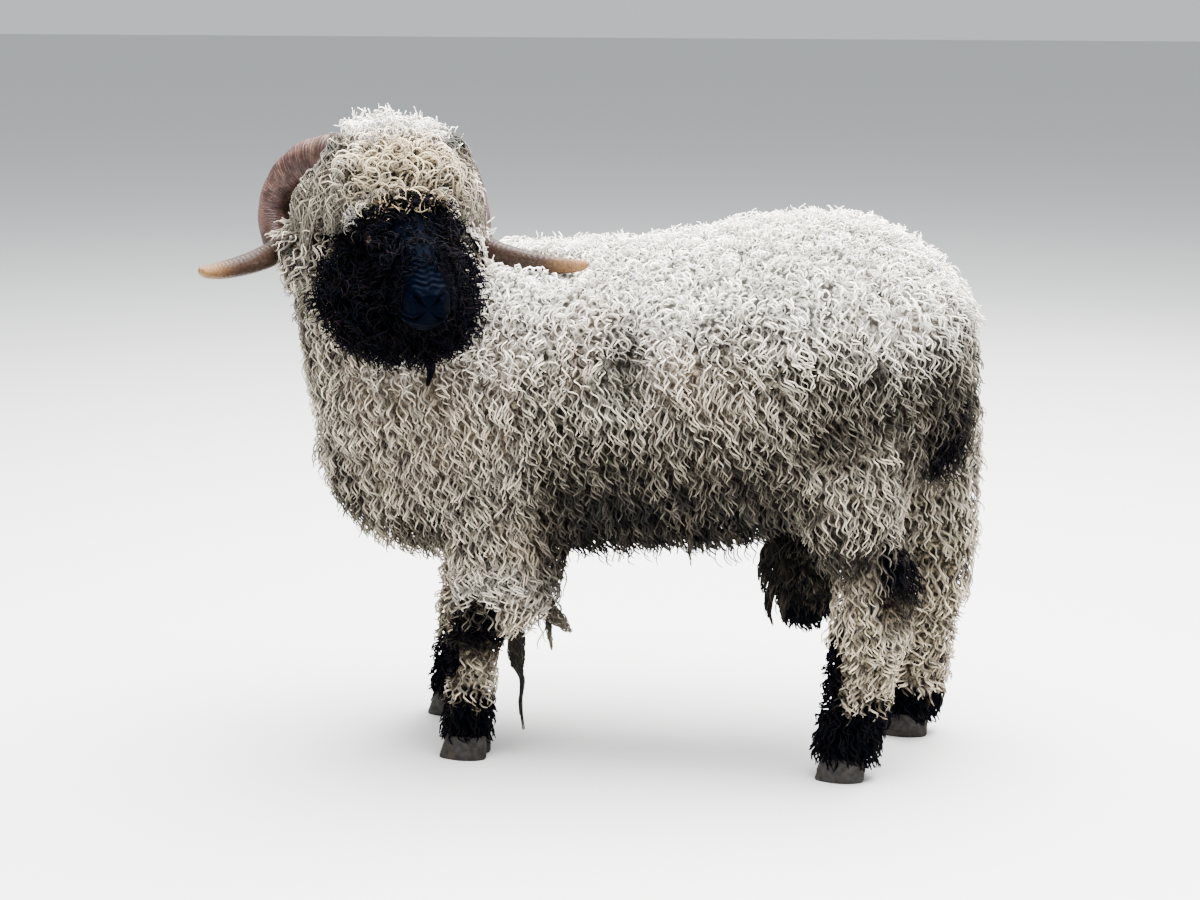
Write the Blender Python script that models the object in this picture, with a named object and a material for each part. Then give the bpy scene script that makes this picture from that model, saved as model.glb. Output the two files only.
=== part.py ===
"""Valais blacknose ram, life size, standing, with its head turned towards its left side.

Metres, +Z up. The ram faces -X, so its left side is towards -Y. The floor is z = 0.
The flesh is modelled whole, as lofts joined in one union with the clumps of its fleece,
and is then parted into nodes by thin cuts. Horns, eyes, ears and hooves are separate.
"""

import math
import random

import bmesh
import bpy
from mathutils import Vector
from mathutils.bvhtree import BVHTree

X = Vector((1, 0, 0))
Y = Vector((0, 1, 0))
Z = Vector((0, 0, 1))

# Gap between nodes that touch.
GAP = 0.0003
SEED = 11
SHARP = math.radians(50.0)

# How far the solid core of the fleece lies inside the outline of its tips.
BODY_INSET = 0.034
LEG_INSET = 0.015
HEAD_INSET = 0.022
TAIL_INSET = 0.018
LEG_THIN_Z = 0.26
LEG_THICK_Z = 0.42
BOOT_Z = 0.030

# Clumps of wool by place: spacing, half width, half thickness, height over the core, length.
COATS = {
    "body": (0.086, 0.068, 0.036, 0.046, 0.090),
    "thigh": (0.072, 0.052, 0.028, 0.034, 0.074),
    "leg": (0.054, 0.038, 0.018, 0.021, 0.054),
    "tail": (0.056, 0.042, 0.020, 0.024, 0.056),
    "cap": (0.047, 0.034, 0.022, 0.028, 0.034),
    "ruff": (0.050, 0.034, 0.020, 0.024, 0.066),
}
# A clump from root to tip: share of its length, size, and lift over the core.
CLUMP_FORM = [(0.0, 0.85, 0.10), (0.50, 1.00, 0.92), (1.0, 0.62, 1.0)]
CLUMP_SIDES = 6
CLUMP_DOME = 0.34
LIE_LEAST = 0.35
CLUMP_TRIES = 14000
FLESH_TRIANGLES = 8300

# Where the wool of the head ends, and the face with no long wool, in the head frame.
HEAD_SIDE = 0.15
HEAD_REACH = 0.36
NAPE_AHEAD = -0.13
JAW_UP = -0.21
BROW_UP = -0.020
CHEEK_AHEAD = -0.010
FACE_AHEAD = 0.085
FACE_UP = -0.030
MUZZLE_AHEAD = 0.222

# Trunk outline with its fleece, front to back: x, top z, bottom z, half width.
TRUNK = [
    (-0.475, 0.620, 0.500, 0.050),
    (-0.430, 0.680, 0.405, 0.125),
    (-0.360, 0.775, 0.345, 0.170),
    (-0.270, 0.842, 0.332, 0.205),
    (-0.150, 0.870, 0.336, 0.228),
    (-0.020, 0.877, 0.352, 0.245),
    (0.100, 0.887, 0.362, 0.255),
    (0.220, 0.911, 0.370, 0.258),
    (0.330, 0.930, 0.390, 0.248),
    (0.420, 0.925, 0.430, 0.232),
    (0.500, 0.895, 0.470, 0.205),
    (0.565, 0.840, 0.510, 0.165),
    (0.608, 0.775, 0.560, 0.100),
]

# Neck outline with its fleece, from the chest to the back of the head: x, y, z, radius.
NECK = [
    (-0.225, 0.000, 0.600, 0.220),
    (-0.290, -0.003, 0.670, 0.228),
    (-0.324, -0.018, 0.745, 0.200),
    (-0.340, -0.048, 0.815, 0.178),
    (-0.342, -0.088, 0.885, 0.160),
    (-0.334, -0.125, 0.945, 0.130),
]

# Legs with their fleece, top to bottom: x, y outward, z, fore-and-aft radius, side radius.
FORELEG_LEFT = [
    (-0.130, 0.110, 0.560, 0.150, 0.100),
    (-0.132, 0.118, 0.430, 0.124, 0.092),
    (-0.140, 0.120, 0.340, 0.100, 0.080),
    (-0.148, 0.120, 0.275, 0.084, 0.070),
    (-0.180, 0.120, 0.238, 0.056, 0.054),
    (-0.193, 0.118, 0.200, 0.050, 0.050),
    (-0.200, 0.116, 0.130, 0.046, 0.045),
    (-0.206, 0.114, 0.085, 0.052, 0.050),
    (-0.210, 0.113, 0.041, 0.056, 0.050),
]
FORELEG_SHIFT = -0.072
FORELEG_SHIFT_FROM = 0.560
FORELEG_SHIFT_TO = 0.300
HINDLEG_LEFT = [
    (0.400, 0.100, 0.700, 0.165, 0.115),
    (0.430, 0.132, 0.580, 0.132, 0.104),
    (0.425, 0.145, 0.480, 0.106, 0.092),
    (0.440, 0.146, 0.410, 0.085, 0.080),
    (0.471, 0.145, 0.345, 0.076, 0.068),
    (0.465, 0.141, 0.270, 0.068, 0.062),
    (0.453, 0.135, 0.200, 0.063, 0.058),
    (0.446, 0.130, 0.130, 0.061, 0.056),
    (0.436, 0.128, 0.085, 0.066, 0.058),
    (0.428, 0.126, 0.041, 0.066, 0.058),
]
HINDLEG_RIGHT = [
    (0.420, 0.100, 0.700, 0.165, 0.115),
    (0.505, 0.130, 0.580, 0.136, 0.106),
    (0.530, 0.145, 0.480, 0.116, 0.094),
    (0.546, 0.146, 0.400, 0.098, 0.084),
    (0.558, 0.145, 0.330, 0.078, 0.070),
    (0.551, 0.141, 0.260, 0.067, 0.062),
    (0.545, 0.136, 0.200, 0.061, 0.057),
    (0.540, 0.131, 0.130, 0.059, 0.055),
    (0.532, 0.128, 0.085, 0.064, 0.057),
    (0.524, 0.126, 0.041, 0.064, 0.057),
]

# Hooves: middle of the two claws on the floor, and the sizes of a claw.
HOOVES = {
    "fore_left": (-0.214, -0.113),
    "fore_right": (-0.286, 0.113),
    "hind_left": (0.420, -0.126),
    "hind_right": (0.516, 0.126),
}
CLAW_LENGTH = 0.082
CLAW_WIDTH = 0.034
CLAW_TOP = 0.0405
CLAW_SPLIT = 0.004
# A claw from the floor up: share of its height, length, width, and how far back it leans.
CLAW_FORM = [(0.0, 1.0, 1.0, 0.0), (0.5, 0.93, 0.97, 0.003), (1.0, 0.84, 0.90, 0.007)]

# Tail with its fleece, root to tip: x, z, radius.
TAIL = [
    (0.505, 0.800, 0.050),
    (0.558, 0.752, 0.054),
    (0.576, 0.680, 0.052),
    (0.577, 0.600, 0.050),
    (0.568, 0.530, 0.043),
    (0.556, 0.485, 0.024),
]

# Scrotum, top to bottom: x, z, radius.
SCROTUM = [
    (0.372, 0.460, 0.040),
    (0.362, 0.395, 0.040),
    (0.355, 0.345, 0.052),
    (0.350, 0.295, 0.054),
    (0.348, 0.250, 0.045),
    (0.350, 0.222, 0.020),
]

# Head frame: the poll, and how the face turns from -Y towards +X and down.
POLL = Vector((-0.318, -0.160, 0.955))
HEAD_TURN = math.radians(28.0)
HEAD_DIP = math.radians(23.0)
HEAD_ROLL = math.radians(1.6)
LEVEL = Vector((math.sin(HEAD_TURN), -math.cos(HEAD_TURN), 0.0))
LEFT = Vector((math.cos(HEAD_TURN), math.sin(HEAD_TURN), -math.tan(HEAD_ROLL))).normalized()
NOSEWARD = (LEVEL * math.cos(HEAD_DIP) - Z * math.sin(HEAD_DIP)).normalized()
UP = NOSEWARD.cross(LEFT).normalized()

# Bare head, from the back of the skull to the nose: distance, half width, top, bottom.
SKULL = [
    (-0.045, 0.048, 0.016, -0.075),
    (-0.010, 0.062, 0.034, -0.100),
    (0.040, 0.070, 0.044, -0.116),
    (0.090, 0.070, 0.047, -0.116),
    (0.125, 0.066, 0.046, -0.110),
    (0.155, 0.056, 0.043, -0.100),
    (0.185, 0.047, 0.036, -0.090),
    (0.215, 0.042, 0.026, -0.090),
    (0.240, 0.041, 0.014, -0.093),
    (0.262, 0.040, 0.001, -0.093),
    (0.278, 0.035, -0.010, -0.087),
    (0.288, 0.024, -0.020, -0.072),
]

# Mouth, its lips, and the nostrils with their wings, in the head frame.
SKULL_POWER = 0.88
MOUTH_STEPS = 12
MOUTH_UP = -0.063
MOUTH_CORNER_AHEAD = 0.222
MOUTH_CORNER_UP = -0.060
MOUTH_FRONT_HALF = 0.030
MOUTH_DEPTH = 0.006
MOUTH_HALF_OPENING = 0.0025
LIP_RADIUS = 0.0050
LIP_RISE = 0.0050
NOSTRIL = (0.291, 0.017, -0.026)
NOSTRIL_RADII = (0.0095, 0.0038, 0.012)
NOSTRIL_WING = (0.276, 0.018, -0.024)
WING_RADII = (0.013, 0.009, 0.014)
NOSTRIL_SLANT = (0.0, 0.80, 0.60)

# Wool of the head: cap over the poll and forehead, ruff of cheeks and jaw.
CAP = [
    (-0.105, 0.050, 0.060, -0.030),
    (-0.075, 0.092, 0.108, -0.070),
    (-0.030, 0.120, 0.136, -0.080),
    (0.020, 0.125, 0.140, -0.060),
    (0.065, 0.112, 0.122, -0.020),
    (0.100, 0.080, 0.090, 0.010),
]
RUFF = [
    (-0.060, 0.085, 0.000, -0.125),
    (-0.010, 0.118, 0.010, -0.165),
    (0.050, 0.126, -0.005, -0.188),
    (0.110, 0.120, -0.028, -0.196),
    (0.165, 0.104, -0.045, -0.192),
    (0.215, 0.076, -0.066, -0.168),
]

# Eyes: place in the head frame for one side, and radius.
EYE = (0.132, 0.053, -0.008)
EYE_RADIUS = 0.0160
LID = 0.0030
EYE_OUTWARD = (0.50, 0.80, 0.20)
EYE_CORNER = (0.75, -0.40, -0.30)
# The opening between the lids, and the brow: radii along the eye, upward and outward.
SLIT = (0.0165, 0.0095, 0.0260)
SLIT_OUT = 0.0290
BROW = (0.020, 0.0055, 0.009)
BROW_RISE = 0.0115
BROW_OUT = 0.0050

# Ears: root and tip from the poll, level ahead, outward and up, for each side.
EARS = {
    "ear_right": ((0.010, 0.072, -0.020), (0.020, 0.116, -0.148)),
    "ear_left": ((0.010, 0.072, -0.020), (0.012, 0.156, -0.128)),
}
EAR_HALF_WIDTH = 0.028
EAR_THICKNESS = 0.006

# Horns: a spiral about the axis across the head. Places are from the poll, on the level.
HORN_CENTRE_AHEAD = -0.010
HORN_CENTRE_UP = -0.025
HORN_DROOP = 0.012
HORN_CURL = 0.080
HORN_START = math.radians(-20.0)
HORN_TURN = math.radians(235.0)
HORN_ROOT_OUT = 0.045
HORN_SPREAD = 0.125
HORN_SPREAD_END = 0.60
HORN_FLICK_RIGHT = 0.155
HORN_FLICK_LEFT = 0.125
HORN_FORWARD = 0.090
HORN_FLICK_START = 0.70
HORN_RADIUS = 0.037
HORN_WIDE = 1.22
HORN_WIDE_TIP = 0.86
HORN_TAPER = 0.45
HORN_RINGS = 18
HORN_RIDGE = 0.045


# Hanging locks, from root to tip.
LOCKS = [
    [(-0.095, -0.125, 0.300), (-0.118, -0.115, 0.225), (-0.121, -0.110, 0.150), (-0.112, -0.108, 0.046)],
    [(-0.070, -0.120, 0.320), (-0.076, -0.118, 0.255), (-0.080, -0.118, 0.215)],
    [(0.135, -0.150, 0.430), (0.137, -0.155, 0.370), (0.135, -0.156, 0.325)],
]
LOCK_RADIUS = 0.013
LOCK_TIP = 0.003
LOCK_SIDES = 5


def head_point(ahead, left, up):
    """A point in the head's own frame, as a world point."""
    return POLL + NOSEWARD * ahead + LEFT * left + UP * up


def head_way(parts, side):
    """A direction in the head's own frame: ahead, outward on this side, and up."""
    return (NOSEWARD * parts[0] + LEFT * (side * parts[1]) + UP * parts[2]).normalized()


def link(name, mesh):
    """An object of this mesh, in the scene."""
    obj = bpy.data.objects.new(name, mesh)
    bpy.context.scene.collection.objects.link(obj)
    return obj


def loft(name, rings, dome=None):
    """A closed body through rings of points, with a fan on each end, the last one domed."""
    shape = bmesh.new()
    layers = [[shape.verts.new(point) for point in ring] for ring in rings]
    count = len(rings[0])
    for low, high in zip(layers, layers[1:]):
        for i in range(count):
            j = (i + 1) % count
            shape.faces.new((low[i], low[j], high[j], high[i]))
    for layer, rise in ((layers[0], None), (layers[-1], dome)):
        middle = shape.verts.new(sum((v.co for v in layer), rise or Vector()) / count)
        for i in range(count):
            shape.faces.new((layer[i], layer[(i + 1) % count], middle))
    bmesh.ops.recalc_face_normals(shape, faces=shape.faces)
    bmesh.ops.triangulate(shape, faces=shape.faces)
    mesh = bpy.data.meshes.new(name)
    shape.to_mesh(mesh)
    shape.free()
    return link(name, mesh)


def ellipse(centre, across, upward, half_width, up, down, count, power=1.0):
    """A ring with its own extents above and below its centre. A power under 1 squares it."""
    points = []
    for i in range(count):
        angle = 2.0 * math.pi * (i + 0.5) / count
        c = math.cos(angle)
        s = math.sin(angle)
        c = math.copysign(abs(c) ** power, c)
        s = math.copysign(abs(s) ** power, s)
        points.append(centre + across * (half_width * s) + upward * ((up if c > 0 else down) * c))
    return points


def section(ahead, half, top, bottom, inset, count, power):
    """A ring across the head, between its top and bottom."""
    middle = 0.5 * (top + bottom)
    reach = 0.5 * (top - bottom) - inset
    return ellipse(head_point(ahead, 0.0, middle), LEFT, UP, half - inset, reach, reach, count, power)


def trunk(inset):
    """The trunk, its outline drawn in by inset."""
    rings = []
    for x, top, bottom, half in TRUNK:
        middle = 0.5 * (top + bottom)
        reach = max(0.5 * (top - bottom) - inset, 0.02)
        rings.append(ellipse(Vector((x, 0, middle)), Y, Z, max(half - inset, 0.02), reach, reach, 14, 0.90))
    rings[0] = [p + X * inset for p in rings[0]]
    rings[-1] = [p - X * inset for p in rings[-1]]
    return loft("trunk", rings)


def neck(inset):
    """The neck, swept along its bend."""
    centres = [Vector(row[:3]) for row in NECK]
    rings = []
    for i, row in enumerate(NECK):
        along = (centres[min(i + 1, len(NECK) - 1)] - centres[max(i - 1, 0)]).normalized()
        across = along.cross(Z).normalized()
        radius = row[3] - inset
        rings.append(ellipse(centres[i], across, across.cross(along), radius, radius, radius, 12))
    return loft("neck_core", rings)


def upright(name, rows, inset, count):
    """A body of level rings: x, y, z, fore-and-aft radius, side radius. Inset goes by height."""
    rings = []
    for x, y, z, fore, wide in rows:
        less = inset(z)
        rings.append(ellipse(Vector((x, y, z)), Y, X, wide - less, fore - less, fore - less, count))
    return loft(name, rings)


def leg_rows(rows, side, shift=0.0):
    """The rows of a leg on its side, its lower part moved fore or aft by shift."""
    placed = []
    for x, y, z, fore, wide in rows:
        share = (FORELEG_SHIFT_FROM - z) / (FORELEG_SHIFT_FROM - FORELEG_SHIFT_TO)
        placed.append((x + shift * min(max(share, 0.0), 1.0), side * y, z, fore, wide))
    return placed


def horn(name, side):
    """A ridged horn."""
    centres = []
    sizes = []
    for i in range(HORN_RINGS + 1):
        t = i / HORN_RINGS
        angle = HORN_START + HORN_TURN * t
        flick = min(max((t - HORN_FLICK_START) / (1.0 - HORN_FLICK_START), 0.0), 1.0)
        flick = flick * flick * (3.0 - 2.0 * flick)
        spread = math.sin(min(t / HORN_SPREAD_END, 1.0) * math.pi / 2)
        reach = HORN_FLICK_LEFT if side > 0 else HORN_FLICK_RIGHT
        out = HORN_ROOT_OUT + HORN_SPREAD * spread + reach * flick
        ahead = HORN_CENTRE_AHEAD - HORN_CURL * math.sin(angle) + HORN_FORWARD * flick
        height = HORN_CENTRE_UP + HORN_CURL * math.cos(angle) - HORN_DROOP * flick
        centres.append(POLL + LEVEL * ahead + LEFT * (side * out) + Z * height)
        ridge = 1.0 + HORN_RIDGE * (1 if i % 2 else -1) * (1.0 - t)
        sizes.append(HORN_RADIUS * max(1.0 - t, 0.012) ** HORN_TAPER * ridge)
    rings = []
    for i, centre in enumerate(centres):
        along = (centres[min(i + 1, len(centres) - 1)] - centres[max(i - 1, 0)]).normalized()
        across = along.cross(LEFT).normalized()
        wide = HORN_WIDE + (HORN_WIDE_TIP - HORN_WIDE) * i / HORN_RINGS
        rings.append(ellipse(centre, across.cross(along), across, sizes[i] * wide, sizes[i], sizes[i], 8))
    return loft(name, rings)


def ear(name):
    """A drooping, cupped, leaf-shaped ear."""
    side = 1 if name.endswith("left") else -1
    root, tip = [POLL + LEVEL * a + LEFT * (side * b) + Z * c for a, b, c in EARS[name]]
    along = (tip - root).normalized()
    outward = LEFT * side
    outward = (outward - along * outward.dot(along)).normalized()
    across = along.cross(outward)
    steps = 6
    rings = []
    for i in range(steps + 1):
        t = i / steps
        half = EAR_HALF_WIDTH * (0.45 + 0.55 * math.sin(min(t * 1.6, 1.0) * math.pi / 2))
        half *= math.sqrt(max(1.0 - max(t - 0.35, 0.0) / 0.65, 0.02))
        thick = EAR_THICKNESS * (1.0 - 0.45 * t)
        centre = root.lerp(tip, t) + outward * (0.012 * math.sin(math.pi * t))
        cup = 0.55 * half
        outer = []
        inner = []
        for k in range(5):
            s = k / 2.0 - 1.0
            outer.append(centre + across * half * s + outward * (cup * (1 - s * s) + 0.5 * thick))
            inner.append(centre + across * half * s * 0.9 + outward * (cup * (1 - s * s) - 0.5 * thick))
        rings.append(outer + inner[::-1])
    return loft(name, rings)


def ball(name, centre, radius, across=12, along=8):
    """A round body."""
    shape = bmesh.new()
    bmesh.ops.create_uvsphere(shape, u_segments=across, v_segments=along, radius=radius)
    bmesh.ops.translate(shape, verts=shape.verts, vec=centre)
    bmesh.ops.triangulate(shape, faces=shape.faces)
    mesh = bpy.data.meshes.new(name)
    shape.to_mesh(mesh)
    shape.free()
    return link(name, mesh)


def eye_centre(side):
    return head_point(EYE[0], side * EYE[1], EYE[2])


def claw(name, leg, side):
    """One half of a cloven hoof, flat on the floor, its toe towards -X."""
    x, y = HOOVES[leg]
    y += side * 0.5 * (CLAW_WIDTH + CLAW_SPLIT)
    rings = []
    for share, length, width, back in CLAW_FORM:
        ring = []
        for i in range(10):
            angle = 2.0 * math.pi * (i + 0.5) / 10
            fore = math.cos(angle)
            toe = 1.0 - 0.25 * max(-fore, 0.0)
            ring.append(Vector((
                x + back + 0.5 * CLAW_LENGTH * length * fore,
                y + 0.5 * CLAW_WIDTH * width * toe * math.sin(angle),
                CLAW_TOP * share,
            )))
        rings.append(ring)
    return loft(name, rings)


def box(name, origin, axes, low, high):
    """A box in its own frame, as a cell for parting the flesh."""
    corners = []
    for c in (low[2], high[2]):
        corners.append([
            origin + axes[0] * a + axes[1] * b + axes[2] * c
            for a, b in ((low[0], low[1]), (high[0], low[1]), (high[0], high[1]), (low[0], high[1]))
        ])
    return loft(name, corners)


def boolean(obj, others, operation, solver="MANIFOLD"):
    """Joins, cuts or keeps, applied, with the other objects then removed."""
    group = bpy.data.collections.new("group")
    for other in others:
        group.objects.link(other)
    modifier = obj.modifiers.new("join", "BOOLEAN")
    modifier.operation = operation
    modifier.solver = solver
    modifier.operand_type = "COLLECTION"
    modifier.collection = group
    bpy.context.view_layer.update()
    graph = bpy.context.evaluated_depsgraph_get()
    mesh = bpy.data.meshes.new_from_object(obj.evaluated_get(graph))
    obj.modifiers.clear()
    obj.data = mesh
    for other in others:
        bpy.data.objects.remove(other)
    bpy.data.collections.remove(group)
    return obj


def keep_largest(obj):
    """Keeps only the closed surface that holds the most."""
    shape = bmesh.new()
    shape.from_mesh(obj.data)
    bmesh.ops.triangulate(shape, faces=shape.faces)
    left = set(shape.faces)
    best = []
    most = -1.0
    while left:
        stack = [left.pop()]
        piece = list(stack)
        while stack:
            for edge in stack.pop().edges:
                for face in edge.link_faces:
                    if face in left:
                        left.remove(face)
                        stack.append(face)
                        piece.append(face)
        holds = abs(sum(f.verts[0].co.dot(f.verts[1].co.cross(f.verts[2].co)) for f in piece))
        if holds > most:
            most = holds
            best = piece
    kept = set(best)
    bmesh.ops.delete(shape, geom=[f for f in shape.faces if f not in kept], context="FACES")
    loose = [v for v in shape.verts if not v.link_faces]
    bmesh.ops.delete(shape, geom=loose, context="VERTS")
    shape.to_mesh(obj.data)
    shape.free()
    return obj


def copy_of(obj, name):
    made = bpy.data.objects.new(name, obj.data.copy())
    bpy.context.scene.collection.objects.link(made)
    return made


# Cells that part the flesh, each a box or what two boxes share: origin, axes, low and high
# corner. Each cell takes from what those before it leave, and the torso is the rest.
THROAT = head_point(0.0, 0.0, -0.045)
THROAT_AXIS = (NOSEWARD * 0.868 + UP * 0.496).normalized()
WITHERS = Vector((-0.17, 0.0, 0.87))
NECK_AXIS = Vector((-0.83, 0.0, 0.56)).normalized()
GROIN = Vector((0.28, 0.0, 0.385))
GROIN_AXIS = Vector((0.82, 0.0, 0.55)).normalized()
WORLD = (X, Y, Z)
ALONG_GROIN = (GROIN_AXIS, Y, GROIN_AXIS.cross(Y))
CELLS = {
    "head": [
        (THROAT, (THROAT_AXIS, LEFT, THROAT_AXIS.cross(LEFT)), (0.0, -0.240, -0.5), (0.6, 0.145, 0.5)),
        (Vector((0, 0, 0.722)), WORLD, (-0.9, -0.9, 0.0), (0.5, 0.5, 0.6)),
    ],
    "neck": [(WITHERS, (NECK_AXIS, Y, NECK_AXIS.cross(Y)), (0.0, -0.5, -1.0), (1.0, 0.5, 1.0))],
    "tail": [(Vector((0.556, 0, 0.635)), WORLD, (0.0, -0.056, -0.20), (0.2, 0.056, 0.155))],
    "scrotum": [(Vector((0.355, 0, 0.30)), WORLD, (-0.09, -0.052, -0.12), (0.09, 0.052, 0.088))],
    "foreleg_left": [(Vector((-0.20, 0, 0)), WORLD, (-0.24, -0.40, -0.1), (0.24, -0.010, 0.345))],
    "foreleg_right": [(Vector((-0.20, 0, 0)), WORLD, (-0.24, 0.010, -0.1), (0.24, 0.40, 0.345))],
    "hindleg_left": [(GROIN, ALONG_GROIN, (-0.5, -0.40, -0.7), (0.7, -0.0523, 0.0))],
    "hindleg_right": [(GROIN, ALONG_GROIN, (-0.5, 0.0523, -0.7), (0.7, 0.40, 0.0))],
}


def cell(name, grow):
    """The space of a node, larger by grow all round."""
    boxes = [
        box("cell", origin, axes, [v - grow for v in low], [v + grow for v in high])
        for origin, axes, low, high in CELLS[name]
    ]
    return boolean(boxes[0], boxes[1:], "INTERSECT") if boxes[1:] else boxes[0]


def swell(obj, distance):
    """Moves each point out along its normal."""
    shape = bmesh.new()
    shape.from_mesh(obj.data)
    for vert in shape.verts:
        vert.co += vert.normal * distance
    shape.to_mesh(obj.data)
    shape.free()
    return obj


def leg_inset(z):
    """How far a leg's core lies inside its outline at this height."""
    share = min(max((z - LEG_THIN_Z) / (LEG_THICK_Z - LEG_THIN_Z), 0.0), 1.0)
    return LEG_INSET + (BODY_INSET - LEG_INSET) * share


def core():
    """All the flesh with the core of its fleece, in one closed body."""
    others = [neck(BODY_INSET)]
    others.append(loft("cap", [section(*row, HEAD_INSET, 12, 1.0) for row in CAP]))
    others.append(loft("ruff", [section(*row, HEAD_INSET, 12, 1.0) for row in RUFF]))
    others.append(upright("leg", leg_rows(FORELEG_LEFT, -1), leg_inset, 10))
    others.append(upright("leg", leg_rows(FORELEG_LEFT, 1, FORELEG_SHIFT), leg_inset, 10))
    others.append(upright("leg", leg_rows(HINDLEG_LEFT, -1), leg_inset, 10))
    others.append(upright("leg", leg_rows(HINDLEG_RIGHT, 1), leg_inset, 10))
    others.append(upright("tail_core", [(x, 0.0, z, r, r) for x, z, r in TAIL], lambda z: TAIL_INSET, 8))
    others.append(upright("scrotum_core", [(x, 0.0, z, r, r) for x, z, r in SCROTUM], lambda z: 0.0, 10))
    return boolean(trunk(BODY_INSET), others, "UNION")


def coat_at(point):
    """The kind of coat that grows here, or None where the skin is bare or short-haired."""
    from_poll = point - POLL
    ahead = from_poll.dot(NOSEWARD)
    up = from_poll.dot(UP)
    side = abs(from_poll.dot(LEFT))
    if side < HEAD_SIDE and ahead > NAPE_AHEAD and up > JAW_UP and from_poll.length < HEAD_REACH:
        if ahead > FACE_AHEAD and up > FACE_UP or ahead > MUZZLE_AHEAD:
            return None
        if up > BROW_UP:
            return COATS["cap"]
        if ahead > CHEEK_AHEAD:
            return COATS["ruff"]
    on_scrotum = abs(point.x - SCROTUM[0][0]) < 0.075 and abs(point.y) < 0.056 and point.z < 0.37
    if on_scrotum or point.z < BOOT_Z:
        return None
    if point.z < LEG_THIN_Z:
        return COATS["leg"]
    if point.z < LEG_THICK_Z and point.x > TRUNK[2][0]:
        return COATS["thigh"]
    if point.x > TAIL[1][0] and abs(point.y) < TAIL[1][2]:
        return COATS["tail"]
    return COATS["body"]


def lie_at(point, normal, kind):
    """The way the locks hang here, along the surface."""
    if kind is COATS["cap"]:
        away = LEVEL + (point - POLL).normalized() * 0.8 - Z * 0.9
    elif kind is COATS["ruff"]:
        away = LEVEL * 0.15 - Z
    else:
        away = X * 0.30 - Z + Y * math.copysign(0.35, point.y) * max(normal.z, 0.0)
    flat = away - normal * away.dot(normal)
    return flat.normalized() * min(max(flat.length, LIE_LEAST), 1.0)


def clump(root, normal, lie, kind, draw):
    """One rounded, tapered clump of wool, its root sunk and its end hanging along the lie."""
    half_width, half_thickness, height, length = kind[1:]
    half_width *= draw.uniform(0.88, 1.12)
    height *= draw.uniform(0.78, 1.06)
    length *= draw.uniform(0.85, 1.20)
    twist = draw.uniform(-0.35, 0.35)
    lie = (lie + lie.cross(normal) * twist).normalized() * lie.length
    across = normal.cross(lie).normalized()
    middles = []
    for t, size, lift in CLUMP_FORM:
        rise = height * lift - half_thickness * size
        middles.append(root + normal * rise + lie * (length * (t - 0.4)))
    rings = []
    for i, (t, size, _) in enumerate(CLUMP_FORM):
        along = (middles[min(i + 1, len(middles) - 1)] - middles[max(i - 1, 0)]).normalized()
        side = across.cross(along).normalized()
        rings.append([
            middles[i] + (
                across * (half_width * math.cos(math.tau * k / CLUMP_SIDES))
                + side * (half_thickness * math.sin(math.tau * k / CLUMP_SIDES))
            ) * size
            for k in range(CLUMP_SIDES)
        ])
    return loft("clump", rings, along * (CLUMP_DOME * half_width * CLUMP_SIDES))


def clumps(base):
    """Clumps set close and evenly over the core, each as its place calls for."""
    draw = random.Random(SEED)
    faces = [poly for poly in base.data.polygons]
    corners = [[base.data.vertices[i].co.copy() for i in poly.vertices] for poly in faces]
    normals = [poly.normal.copy() for poly in faces]
    picks = draw.choices(range(len(faces)), weights=[poly.area for poly in faces], k=CLUMP_TRIES)
    tree = BVHTree.FromPolygons([v.co for v in base.data.vertices], [p.vertices for p in faces])
    placed = []
    made = []
    for pick in picks:
        a = draw.random()
        b = draw.random()
        if a + b > 1.0:
            a, b = 1.0 - a, 1.0 - b
        p, q, r = corners[pick][:3]
        point = p + (q - p) * a + (r - p) * b
        kind = coat_at(point)
        if kind is None or any((point - other).length < 0.5 * (kind[0] + near) for other, near in placed):
            continue
        placed.append((point, kind[0]))
        normal = Vector()
        for other in tree.find_nearest_range(point, 0.6 * kind[0]):
            normal += other[1]
        normal.normalize()
        if normal.dot(normals[pick]) < 0.3:
            normal = normals[pick]
        made.append(clump(point, normal, lie_at(point, normal, kind), kind, draw))
    return made


def flesh():
    """All the flesh with its fleece, in one closed body."""
    base = core()
    keep_largest(base)
    fleece = clumps(base) + [lock(points) for points in LOCKS]
    whole = boolean(base, fleece, "UNION")
    keep_largest(whole)
    thin = whole.modifiers.new("thin", "DECIMATE")
    thin.ratio = FLESH_TRIANGLES / len(whole.data.polygons)
    bpy.context.view_layer.update()
    mesh = bpy.data.meshes.new_from_object(whole.evaluated_get(bpy.context.evaluated_depsgraph_get()))
    whole.modifiers.clear()
    whole.data = mesh
    return boolean(whole, [face()], "UNION")


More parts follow.
